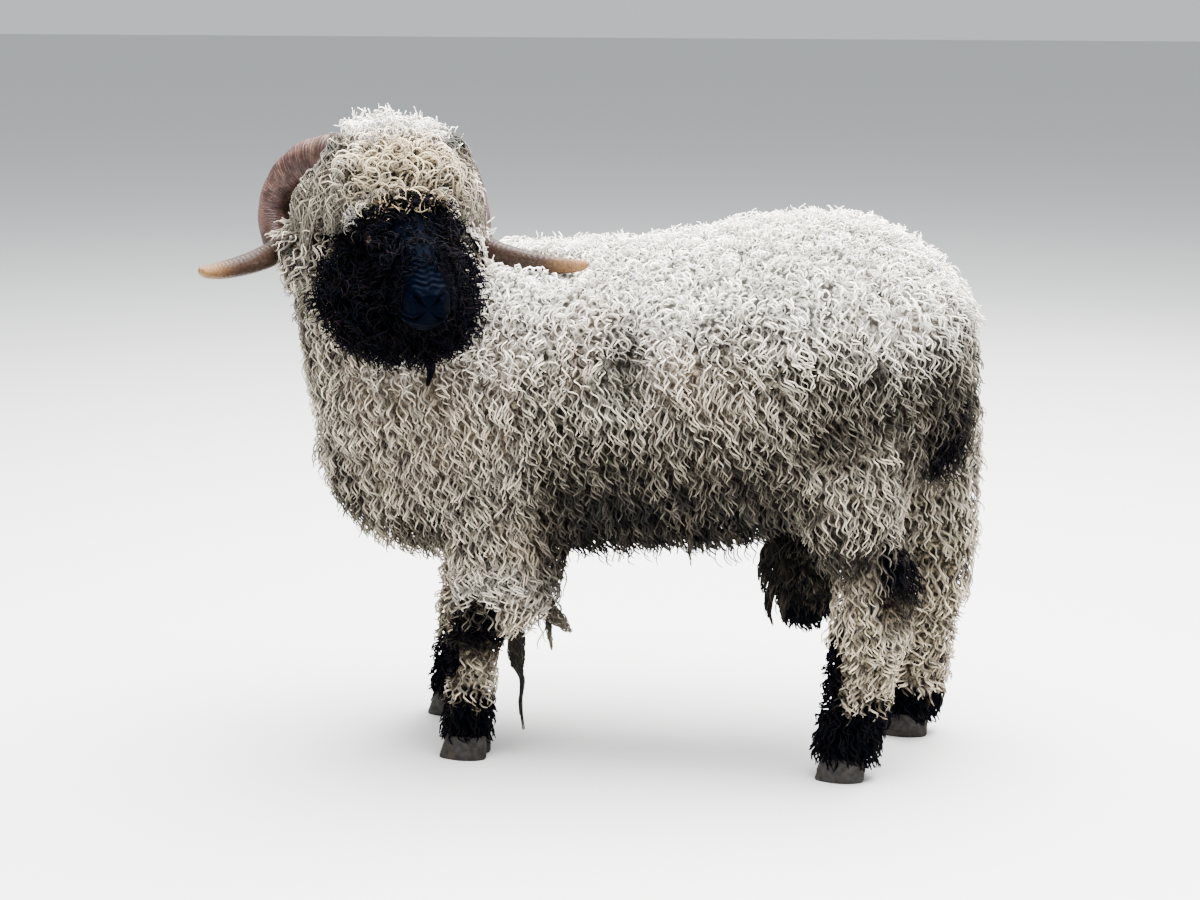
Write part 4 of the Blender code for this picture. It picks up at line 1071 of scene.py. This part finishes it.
# Matted locks that hang free: the body they hang from, strands, how black and how soiled they
# are, and places down the middle with the radius there, in millimetres.
MATTED_RINGS = 16
MATTED = [
    ("foreleg_left", 120, 0.42, 1.0, [
        (-106, -120, 300, 10), (-116, -115, 250, 9), (-123, -110, 222, 12), (-124, -110, 190, 13),
        (-123, -110, 166, 12), (-119, -110, 150, 6), (-115, -109, 132, 4), (-119, -108, 92, 3),
        (-112, -108, 46, 3),
    ]),
    ("foreleg_left", 84, 0.0, 0.8, [
        (-92, -115, 305, 20), (-70, -116, 264, 16), (-46, -117, 240, 10), (-28, -117, 224, 4),
    ]),
    ("foreleg_left", 18, 0.0, 0.86, [(-70, -116, 250, 7), (-65, -118, 215, 4), (-62, -118, 192, 2)]),
    ("foreleg_left", 60, 0.0, 0.1, [(-110, -118, 310, 16), (-112, -122, 265, 14), (-118, -122, 226, 8)]),
    ("belly", 16, 0.8, 0.5, [(168, -150, 440, 8), (171, -153, 395, 4), (174, -152, 345, 2)]),
    ("belly", 18, 0.6, 0.9, [(60, -150, 440, 10), (64, -153, 400, 6), (66, -152, 372, 2)]),
    ("belly", 18, 0.6, 0.9, [(240, -140, 440, 10), (236, -142, 405, 6), (240, -142, 375, 2)]),
    ("scrotum", 60, 0.6, 1.0, [
        (330, -34, 430, 18), (304, -46, 375, 14), (286, -50, 320, 9), (282, -48, 285, 3),
    ]),
    ("scrotum", 60, 0.6, 1.0, [
        (326, -46, 400, 16), (308, -54, 330, 12), (292, -56, 270, 7), (300, -54, 232, 2),
    ]),
    ("scrotum", 44, 0.6, 1.0, [(316, -10, 410, 14), (284, -16, 350, 9), (272, -18, 300, 3)]),
    ("scrotum", 44, 0.6, 1.0, [(330, -50, 360, 14), (322, -58, 300, 10), (316, -60, 240, 3)]),
    ("beard", 60, 1.0, 0.0, [
        (-250, -200, 735, 12), (-243, -212, 705, 8), (-240, -216, 680, 7), (-245, -217, 650, 2),
    ]),
    ("beard", 14, 1.0, 0.0, [(-205, -200, 750, 6), (-193, -214, 728, 3), (-198, -216, 708, 1)]),
    ("beard", 14, 1.0, 0.0, [(-303, -200, 730, 6), (-303, -214, 704, 3), (-294, -216, 684, 1)]),
    ("beard", 10, 1.0, 0.0, [(-285, -200, 730, 5), (-279, -214, 695, 2), (-271, -216, 675, 1)]),
]

# Pale locks that hang beside the horns: the side, strands, how soiled they are, and the way
# ahead, out and up from the poll with the radius there, in millimetres.
SIDE_LOCKS = [
    (-1, 110, 0.35, [
        (20, 78, 92, 16), (36, 100, 50, 17), (42, 120, 6, 17), (40, 138, -40, 15), (36, 148, -90, 8),
    ]),
    (-1, 100, 0.2, [(30, 62, 80, 16), (50, 82, 34, 18), (56, 98, -12, 18), (56, 112, -60, 10)]),
    (-1, 100, 0.45, [(15, 98, 52, 12), (24, 126, 22, 15), (26, 148, -18, 16), (22, 160, -70, 9)]),
    (1, 100, 0.1, [
        (6, 98, 92, 13), (10, 118, 60, 16), (10, 134, 18, 16), (6, 145, -26, 15), (2, 155, -78, 8),
    ]),
    (1, 90, 0.15, [(30, 86, 85, 13), (36, 106, 48, 16), (38, 121, 4, 16), (32, 134, -42, 9)]),
]


def beside_poll(side, rows):
    """Rows that are given from the poll on one side, as places and radii."""
    places = [POLL + LEVEL * ahead + LEFT * side * out + Z * up for ahead, out, up, _ in rows]
    return np.column_stack([places, rows[:, 3]])


def matted_piece(rows, count, black, soil, kind, axis, rng):
    """A bundle of strands that winds down a line of places."""
    fine = resample(rows, 60)
    t = np.linspace(0.0, 1.0, MATTED_RINGS)
    reach = (0.55 + 0.45 * rng.random((count, 1))) * t[None, :] * 59.0
    low = np.clip(reach.astype(int), 0, 58)
    share = (reach - low)[:, :, None]
    here = fine[low] * (1.0 - share) + fine[low + 1] * share
    along = unit(np.gradient(fine[:, :3], axis=0)).mean(0)
    across = unit(np.cross(along, X))
    third = np.cross(across, along)
    wave = 0.13 * np.sin(2.0 * math.pi * (2.2 * t[None, :] + rng.random((count, 1))))
    angle = 2.0 * math.pi * (rng.random((count, 1)) + 0.45 * t[None, :] + wave)
    out = np.sqrt(rng.random((count, 1))) * np.maximum(here[:, :, 3], 0.0006)
    out = out * (1.0 + 0.25 * np.sin(2.0 * math.pi * (1.7 * t[None, :] + rng.random((count, 1)))))
    way = across * np.cos(angle)[:, :, None] + third * np.sin(angle)[:, :, None]
    path = here[:, :, :3] + way * out[:, :, None]
    marks = np.tile((black, soil, 0.1, 0.0), (count, 1))
    tone = rng.random(count)
    return piece_of(path, here[:, :, :3], t, path[:, 0], unit(way[:, 0]), tone, marks, kind, axis, rng)


def build_coat(name, parts, materials):
    """Joins parts of a coat into one object, with its values, its unwrap and its place on the body."""
    points, faces = join_arrays([(part["points"], part["faces"]) for part in parts])
    points[:, 2] = np.maximum(points[:, 2], CLEAR_OF_FLOOR)
    fibre, marks, values, flat = [
        np.concatenate([part[key] for part in parts]) for key in ("fibre", "marks", "values", "flat")
    ]
    obj = mesh_object(name, points, faces)
    set_values(obj, "fibre", "FLOAT_VECTOR", fibre)
    set_values(obj, "marks", "FLOAT_COLOR", marks)
    for column, key in enumerate(("along", "tone", "crest_shade")):
        set_values(obj, key, "FLOAT", values[:, column])
    layer = obj.data.uv_layers.new(name="OFBake")
    layer.data.foreach_set("uv", flat[faces.ravel()].astype(np.float32).ravel())
    settle(obj, "black_wool" if name in BLACK_PIECES else "fleece", *materials)
    black = marks[faces[:, 0], 0] > 0.5
    obj.data.polygons.foreach_set("material_index", black.astype(np.int32))


def new_material(name, settings):
    """A material with these values on its Principled shader, its node tree, and that shader."""
    made = bpy.data.materials.new(name)
    made.use_nodes = True
    shader = made.node_tree.nodes["Principled BSDF"]
    for key, value in settings.items():
        feed(made.node_tree, shader.inputs[key], value)
    return made, made.node_tree, shader


def feed(tree, socket, value):
    """Links a socket to another, or sets its value."""
    if isinstance(value, bpy.types.NodeSocket):
        tree.links.new(value, socket)
    elif isinstance(value, tuple) and len(value) == 3 and socket.type == "RGBA":
        socket.default_value = (*value, 1.0)
    else:
        socket.default_value = value


def mix(tree, share, a, b, mode="MIX"):
    """A mix of two colours."""
    made = tree.nodes.new("ShaderNodeMix")
    made.data_type = "RGBA"
    made.blend_type = mode
    feed(tree, made.inputs[0], share)
    feed(tree, made.inputs[6], a)
    feed(tree, made.inputs[7], b)
    return made.outputs[2]


def maths(tree, operation, a, b=0.0):
    """The result of an operation on one or two numbers."""
    made = tree.nodes.new("ShaderNodeMath")
    made.operation = operation
    feed(tree, made.inputs[0], a)
    feed(tree, made.inputs[1], b)
    return made.outputs[0]


def squares(tree, a, b):
    """The sum of the squares of two numbers."""
    return maths(tree, "ADD", maths(tree, "POWER", a, 2.0), maths(tree, "POWER", b, 2.0))


def ranged(tree, value, low, high, to_low=0.0, to_high=1.0):
    """A number carried from one range to another, smoothly."""
    made = tree.nodes.new("ShaderNodeMapRange")
    made.interpolation_type = "SMOOTHSTEP"
    for socket, v in zip(made.inputs, (value, low, high, to_low, to_high)):
        feed(tree, socket, v)
    return made.outputs[0]


def attribute(tree, name):
    """The sockets of a value held at the points."""
    made = tree.nodes.new("ShaderNodeAttribute")
    made.attribute_name = name
    return made.outputs


def object_place(tree):
    """Places in the object's own frame."""
    return tree.nodes.new("ShaderNodeTexCoord").outputs["Object"]


def noise(tree, vector, scale, detail=3.0, roughness=0.55):
    """Noise over a vector."""
    made = tree.nodes.new("ShaderNodeTexNoise")
    feed(tree, made.inputs["Vector"], vector)
    made.inputs["Scale"].default_value = scale
    made.inputs["Detail"].default_value = detail
    made.inputs["Roughness"].default_value = roughness
    return made.outputs[0]


def bump(tree, shader, height, strength, distance):
    """Relief from a height."""
    made = tree.nodes.new("ShaderNodeBump")
    made.inputs["Strength"].default_value = strength
    made.inputs["Distance"].default_value = distance
    feed(tree, made.inputs["Height"], height)
    tree.links.new(made.outputs[0], shader.inputs["Normal"])


# Colours of the wool and of the face's skin, with painted shade at the wool's roots and between its fibres,
# soil with painted shade, and painted light from above on its pale parts.
WOOL_ROOT_SHADE = (0.032, 0.027, 0.020)
WOOL_MIDDLE = (0.190, 0.158, 0.112)
WOOL_TIP = (0.800, 0.700, 0.525)
WOOL_STRAW = (0.600, 0.430, 0.200)
WOOL_BLUSH = (0.620, 0.440, 0.300)
WOOL_PALE = (0.960, 0.922, 0.850)
WOOL_SOIL_SHADE = (0.0135, 0.0128, 0.0105)
WOOL_FIBRE_SHADE = (0.020, 0.014, 0.010)
BLACK_DEEP = (0.0001, 0.0002, 0.0005)
BLACK_TIP = (0.0005, 0.0009, 0.0024)
BROWN_TIP = (0.0060, 0.0026, 0.0032)
SKIN_DEEP = (0.00004, 0.0001, 0.0005)
SKIN_DARK = (0.0001, 0.0004, 0.0016)


def wool_colour(tree, along, tone, crest_shade, marks, place):
    """The colour of wool from its place along the lock, its tone, its painted shade and its markings, with
    painted light from above, and its soil with painted shade.
    """
    split = tree.nodes.new("ShaderNodeSeparateColor")
    tree.links.new(marks["Color"], split.inputs[0])
    black, soil, straw = split.outputs
    pale = marks["Alpha"]
    broad = noise(tree, place, 5.0, 4.0)
    patch = noise(tree, place, 26.0)
    # Painted shade, darkest at the root of each lock.
    colour = mix(tree, ranged(tree, along, 0.05, 0.50), WOOL_ROOT_SHADE, WOOL_MIDDLE)
    colour = mix(tree, ranged(tree, along, 0.38, 0.86), colour, WOOL_TIP)
    tint = ranged(tree, broad, 0.46, 0.66, 0.0, 0.45)
    colour = mix(tree, tint, colour, mix(tree, 0.5, WOOL_BLUSH, colour))
    yellow = mix(tree, ranged(tree, along, 0.1, 0.7), WOOL_ROOT_SHADE, WOOL_STRAW)
    colour = mix(tree, straw, colour, yellow)
    # Painted light from above: paler wool on the back and the crown, most towards the tips of the locks.
    pale_and_lit = maths(tree, "MULTIPLY", pale, ranged(tree, along, 0.10, 0.55, 0.12, 0.90))
    colour = mix(tree, pale_and_lit, colour, WOOL_PALE)
    # Soil with painted shade, in patches.
    soil_and_shade = maths(tree, "MULTIPLY", soil, ranged(tree, patch, 0.35, 0.62, 0.80, 1.00))
    colour = mix(tree, soil_and_shade, colour, WOOL_SOIL_SHADE)
    # Random tone of each lock, times painted shade on the side of each lock towards the skin.
    light = ranged(tree, tone, 0.15, 0.85, 0.48, 1.12)
    shade = maths(tree, "MULTIPLY", light, ranged(tree, crest_shade, 0.22, 0.78, 0.42, 1.10))
    # Painted light from above, brightening the locks on the back and the crown.
    shade = maths(tree, "ADD", shade, maths(tree, "MULTIPLY", pale, 0.34))
    grey = tree.nodes.new("ShaderNodeCombineColor")
    for socket in grey.inputs:
        tree.links.new(shade, socket)
    colour = mix(tree, 1.0, colour, grey.outputs[0], "MULTIPLY")
    tip = mix(tree, ranged(tree, tone, 0.62, 0.80), BLACK_TIP, BROWN_TIP)
    dark = mix(tree, ranged(tree, along, 0.55, 1.0, 0.0, 0.90), BLACK_DEEP, tip)
    return mix(tree, black, colour, dark), soil_and_shade


def wool_material(name, sheen, gloss, gleam):
    """Curled wool, with fibres along each lock."""
    settings = {"Roughness": 0.85, "Sheen Weight": sheen, "Specular IOR Level": gloss, "Specular Tint": gleam}
    made, tree, shader = new_material(name, settings)
    along, tone, crest_shade = [attribute(tree, key)["Fac"] for key in ("along", "tone", "crest_shade")]
    colour, soil_and_shade = wool_colour(tree, along, tone, crest_shade, attribute(tree, "marks"), object_place(tree))
    strands = noise(tree, attribute(tree, "fibre")["Vector"], 1.5, 3.0, 0.62)
    # Painted shade between the fibres of each lock.
    fibre_shade = mix(tree, 0.55, colour, WOOL_FIBRE_SHADE)
    colour = mix(tree, ranged(tree, strands, 0.34, 0.56, 0.70, 0.0), colour, fibre_shade)
    feed(tree, shader.inputs["Base Color"], colour)
    if sheen:
        feed(tree, shader.inputs["Sheen Weight"], ranged(tree, soil_and_shade, 0.0, 0.8, sheen, 0.02))
        feed(tree, shader.inputs["Specular IOR Level"], ranged(tree, soil_and_shade, 0.0, 0.8, gloss, 0.10))
    bump(tree, shader, strands, 0.45, 0.002)
    return made


def skin_material():
    """Skin under the coat, and the dark bare skin of the face."""
    settings = {"Specular IOR Level": 0.03, "Specular Tint": (0.15, 0.40, 1.0)}
    made, tree, shader = new_material("skin", settings)
    place = object_place(tree)
    curls = noise(tree, place, 95.0, 3.0, 0.6)
    along = ranged(tree, curls, 0.35, 0.70, 0.05, 0.60)
    # The skin under the coat takes the wool's colours, with their painted shade, over a pattern of curls.
    colour, _ = wool_colour(tree, along, curls, curls, attribute(tree, "marks"), place)
    bare = attribute(tree, "bare")["Fac"]
    pores = noise(tree, place, 900.0)
    mottle = noise(tree, place, 60.0)
    dark = mix(tree, ranged(tree, mottle, 0.35, 0.65), SKIN_DEEP, SKIN_DARK)
    feed(tree, shader.inputs["Base Color"], mix(tree, bare, colour, dark))
    feed(tree, shader.inputs["Roughness"], ranged(tree, bare, 0.0, 1.0, 0.9, 0.62))
    bump(tree, shader, maths(tree, "ADD", curls, maths(tree, "MULTIPLY", pores, 0.25)), 0.5, 0.003)
    return made


def horn_material():
    """Ringed horn, pinkish brown at the root and amber at the tip."""
    made, tree, shader = new_material("horn", {"Specular IOR Level": 0.22})
    along = attribute(tree, "along")["Fac"]
    grain = noise(tree, attribute(tree, "fibre")["Vector"], 3.0, 5.0, 0.65)
    mottle = noise(tree, object_place(tree), 26.0, 5.0, 0.65)
    colour = mix(tree, ranged(tree, mottle, 0.40, 0.62), (0.024, 0.008, 0.006), (0.100, 0.052, 0.040))
    colour = mix(tree, ranged(tree, along, 0.50, 0.78), colour, (0.020, 0.010, 0.006))
    amber = mix(tree, ranged(tree, mottle, 0.30, 0.70), (0.070, 0.032, 0.012), (0.220, 0.115, 0.045))
    colour = mix(tree, ranged(tree, along, 0.86, 0.975), colour, amber)
    rings = tree.nodes.new("ShaderNodeTexWave")
    rings.wave_type = "BANDS"
    rings.bands_direction = "Z"
    tree.links.new(attribute(tree, "fibre")["Vector"], rings.inputs["Vector"])
    rings.inputs["Scale"].default_value = 3.2
    rings.inputs["Distortion"].default_value = 3.5
    rings.inputs["Detail"].default_value = 3.0
    ridge = rings.outputs["Fac"]
    hollow = ranged(tree, ridge, 0.15, 0.75, 0.55, 0.0)
    dark = maths(tree, "MULTIPLY", hollow, ranged(tree, along, 0.75, 0.95, 1.0, 0.0))
    colour = mix(tree, dark, colour, (0.024, 0.013, 0.010))
    colour = mix(tree, ranged(tree, grain, 0.55, 0.80, 0.0, 0.30), colour, (0.230, 0.165, 0.130))
    feed(tree, shader.inputs["Base Color"], colour)
    feed(tree, shader.inputs["Roughness"], ranged(tree, grain, 0.3, 0.7, 0.38, 0.62))
    bump(tree, shader, maths(tree, "ADD", maths(tree, "MULTIPLY", ridge, 0.6), grain), 0.55, 0.0015)
    return made


def hoof_material():
    """Dull hoof horn with growth lines and dried soil."""
    made, tree, shader = new_material("hoof", {"Specular IOR Level": 0.25})
    place = object_place(tree)
    streak = noise(tree, place, 120.0, 4.0)
    soil = noise(tree, place, 34.0, 4.0)
    colour = mix(tree, ranged(tree, streak, 0.35, 0.65), (0.005, 0.004, 0.004), (0.020, 0.016, 0.013))
    colour = mix(tree, ranged(tree, soil, 0.52, 0.66, 0.0, 0.6), colour, (0.034, 0.026, 0.018))
    feed(tree, shader.inputs["Base Color"], colour)
    feed(tree, shader.inputs["Roughness"], ranged(tree, soil, 0.4, 0.6, 0.45, 0.8))
    bump(tree, shader, streak, 0.35, 0.001)
    return made


def eye_material():
    """A wet eye: amber-brown iris with a level, dark, long pupil."""
    settings = {"Roughness": 0.10, "Coat Weight": 0.10, "Specular IOR Level": 0.18}
    made, tree, shader = new_material("eye", settings)
    gaze = attribute(tree, "gaze")["Vector"]
    split = tree.nodes.new("ShaderNodeSeparateXYZ")
    tree.links.new(gaze, split.inputs[0])
    across, rise, _ = split.outputs
    round_way = maths(tree, "SQRT", squares(tree, across, rise))
    streaks = noise(tree, gaze, 14.0, 4.0)
    iris = mix(tree, ranged(tree, streaks, 0.35, 0.65), (0.012, 0.006, 0.003), (0.045, 0.022, 0.008))
    iris = mix(tree, ranged(tree, round_way, 0.50, 0.72), iris, (0.008, 0.005, 0.004))
    pupil = squares(tree, maths(tree, "MULTIPLY", across, 2.2), maths(tree, "MULTIPLY", rise, 5.2))
    colour = mix(tree, ranged(tree, pupil, 0.8, 1.15, 1.0, 0.0), iris, (0.001, 0.001, 0.002))
    colour = mix(tree, ranged(tree, round_way, 0.74, 0.86), colour, (0.030, 0.022, 0.018))
    feed(tree, shader.inputs["Base Color"], colour)
    return made


def add_skin():
    """The skin, in the place of every node of flesh. Returns its body, its face and its ears."""
    body, face = body_skin(), face_skin()
    ears = [loft(ear_rings(name)) for name in EARS]
    points, faces = join_arrays([body, face, *ears])
    obj = mesh_object("skin", points, faces)
    marks = markings(points, point_normals(points, faces))
    head = len(body[0])
    on_face = slice(head, head + len(face[0]))
    marks[head:] = (1.0, 0.0, 0.0, 0.0)
    bare = np.zeros(len(points))
    bare[on_face] = ramp(0.150, 0.215, head_coords(points)[0][on_face])
    for sign in (-1, 1):
        from_eye = distance(points[on_face], eye_centre(sign))
        bare[on_face] = np.maximum(bare[on_face], fall(0.022, 0.030, from_eye))
    set_values(obj, "marks", "FLOAT_COLOR", marks)
    set_values(obj, "bare", "FLOAT", bare)
    settle(obj, "fleece", skin_material())
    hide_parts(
        "torso", "neck", "head", "tail", "scrotum", "ear_left", "ear_right",
        "foreleg_left", "foreleg_right", "hindleg_left", "hindleg_right",
    )
    return body, face, ears


def add_coat(body, face, ears):
    """All the wool, in pieces by region."""
    points, faces = body
    normals = point_normals(points, faces)
    middles = points[faces].mean(1)
    kinds, under = kind_of(middles, unit(normals[faces].mean(1)))
    parts = {}

    def grow(piece, kind, chosen, source=(points, faces, normals)):
        rng = np.random.default_rng(SEED + 31 * len(parts) + list(KINDS).index(kind))
        roots, out = scatter(*source, chosen, KINDS[kind][0], rng)
        if len(roots):
            parts.setdefault(piece, []).append(coat_piece(roots, out, kind, axis_of(piece), rng))

    sides = {"left": middles[:, 1] < 0.0, "right": middles[:, 1] >= 0.0}
    ends = {"fore": middles[:, 0] < FORE_END_X, "hind": middles[:, 0] >= FORE_END_X}
    for kind in ("back", "shoulder", "flank", "belly"):
        for side, end in product(sides, ends):
            grow(f"wool_{kind}_{side}_{end}", kind, (kinds == kind) & sides[side] & ends[end])
    for side in sides:
        grow(f"wool_belly_{side}_hind", "drip", under & sides[side])
    for leg in LEGS:
        for kind in ("leg_top", "cuff", "leg", "boot"):
            end, side = leg.split("leg_")
            grow("wool_" + leg, kind, (kinds == kind) & sides[side] & ends[end])
    for kind, piece in OTHER_WOOL.items():
        grow(piece, kind, kinds == kind)
    face_kinds = face_kind_of(face[0][face[1]].mean(1))
    for kind in ("brow", "nose"):
        grow("wool_" + kind, kind, face_kinds == kind, (*face, point_normals(*face)))
    for ear in ears:
        grow("wool_ears", "ear", np.ones(len(ear[1]), bool), (*ear, point_normals(*ear)))

    bundles = [
        ("wool_matted_" + place, mm(rows), count, (black, soil), "ruff", 900 + number)
        for number, (place, count, black, soil, rows) in enumerate(MATTED)
    ]
    bundles += [
        ("wool_bunches", beside_poll(side, mm(rows)), count, (0.0, soil), "bunch", 950 + number)
        for number, (side, count, soil, rows) in enumerate(SIDE_LOCKS)
    ]
    for piece, rows, count, shade, kind, draw in bundles:
        rng = np.random.default_rng(SEED + draw)
        made = matted_piece(rows, count, *shade, kind, axis_of(piece), rng)
        parts.setdefault(piece, []).append(made)
    wool = (
        wool_material("wool_pale", 0.20, 0.35, (1.0, 1.0, 1.0)),
        wool_material("wool_black", 0.0, 0.040, (0.10, 0.36, 1.0)),
    )
    for name, made in parts.items():
        build_coat(name, made, wool)


def add_horns():
    """Both horns, finer than their solids."""
    material = horn_material()
    for side, word in SIDES.items():
        rings, t = horn_rings(side)
        obj = mesh_object("horn_fine_" + word, *loft(rings))
        along = np.concatenate([np.repeat(t, HORN_SIDES), [0.0, 1.0]])
        turn = np.concatenate([np.tile(round_angles(HORN_SIDES), HORN_RINGS), [0.0, 0.0]])
        set_values(obj, "along", "FLOAT", along)
        set_values(obj, "fibre", "FLOAT_VECTOR", np.stack([np.cos(turn), np.sin(turn), 9.0 * along], 1))
        settle(obj, "horn", material)
        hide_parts("horn_" + word)


def add_hooves():
    """The eight claws, finer than their solids."""
    material = hoof_material()
    for leg, (side, word) in product(HOOVES, ((-1, "a"), (1, "b"))):
        obj = mesh_object(f"claw_{leg}_{word}", *loft(claw_rings(leg, side)))
        settle(obj, "hoof", material)
        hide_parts(f"hoof_{leg}_{word}")


def add_eyes():
    """Both eyeballs, finer than their solids."""
    material = eye_material()
    for side, word in SIDES.items():
        outward, corner = eye_frame(side)
        points, faces = loft(ball_rings(eye_centre(side), outward, EYE_RADIUS))
        obj = mesh_object("eyeball_" + word, points, faces)
        rel = (points - eye_centre(side)) / EYE_RADIUS
        gaze = np.stack([rel @ corner, rel @ np.cross(corner, outward), rel @ outward], 1)
        set_values(obj, "gaze", "FLOAT_VECTOR", gaze)
        settle(obj, "eye", material)
        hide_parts("eye_" + word)


def hold(name, data, place, way):
    """An object for a light or a camera at this place, looking this way."""
    holder = bpy.data.objects.new(name, data)
    holder.location = place
    holder.rotation_euler = way.to_track_quat("-Z", "Y").to_euler()
    bpy.context.scene.collection.objects.link(holder)
    return holder


def add_studio():
    """Pale floor, soft lights and the photo's camera."""
    corners = [[-1.0, -1.0, 0.0], [1.0, -1.0, 0.0], [1.0, 1.0, 0.0], [-1.0, 1.0, 0.0]]
    floor = mesh_object("floor", FLOOR_SIZE * np.array(corners), np.array([[0, 1, 2], [0, 2, 3]]))
    made, _, _ = new_material("floor", {"Roughness": 0.85, "Base Color": (0.66, 0.66, 0.65)})
    floor.data.materials.append(made)
    target = Vector((0.0, 0.0, 0.55))
    for name, place, width, power in LIGHTS:
        light = bpy.data.lights.new(name, "AREA")
        light.shape = "DISK"
        light.size = width
        light.energy = power
        hold(name, light, Vector(place), target - Vector(place))
    world = bpy.data.worlds.new("studio")
    world.use_nodes = True
    sky = world.node_tree.nodes["Background"].inputs
    sky["Color"].default_value = (0.90, 0.95, 1.0, 1.0)
    sky["Strength"].default_value = 0.75
    bpy.context.scene.world = world
    camera = bpy.data.cameras.new("camera")
    camera.lens = CAMERA_LENS
    camera.sensor_width = 36.0
    camera.clip_end = 100.0
    sight = Vector((
        -math.sin(CAMERA_TURN) * math.cos(CAMERA_DIP),
        math.cos(CAMERA_TURN) * math.cos(CAMERA_DIP),
        -math.sin(CAMERA_DIP),
    ))
    bpy.context.scene.camera = hold("camera", camera, Vector(CAMERA_PLACE) + Vector(OFFSET), sight)


add_studio()
body, face, ears = add_skin()
add_coat(body, face, ears)
add_horns()
add_hooves()
add_eyes()
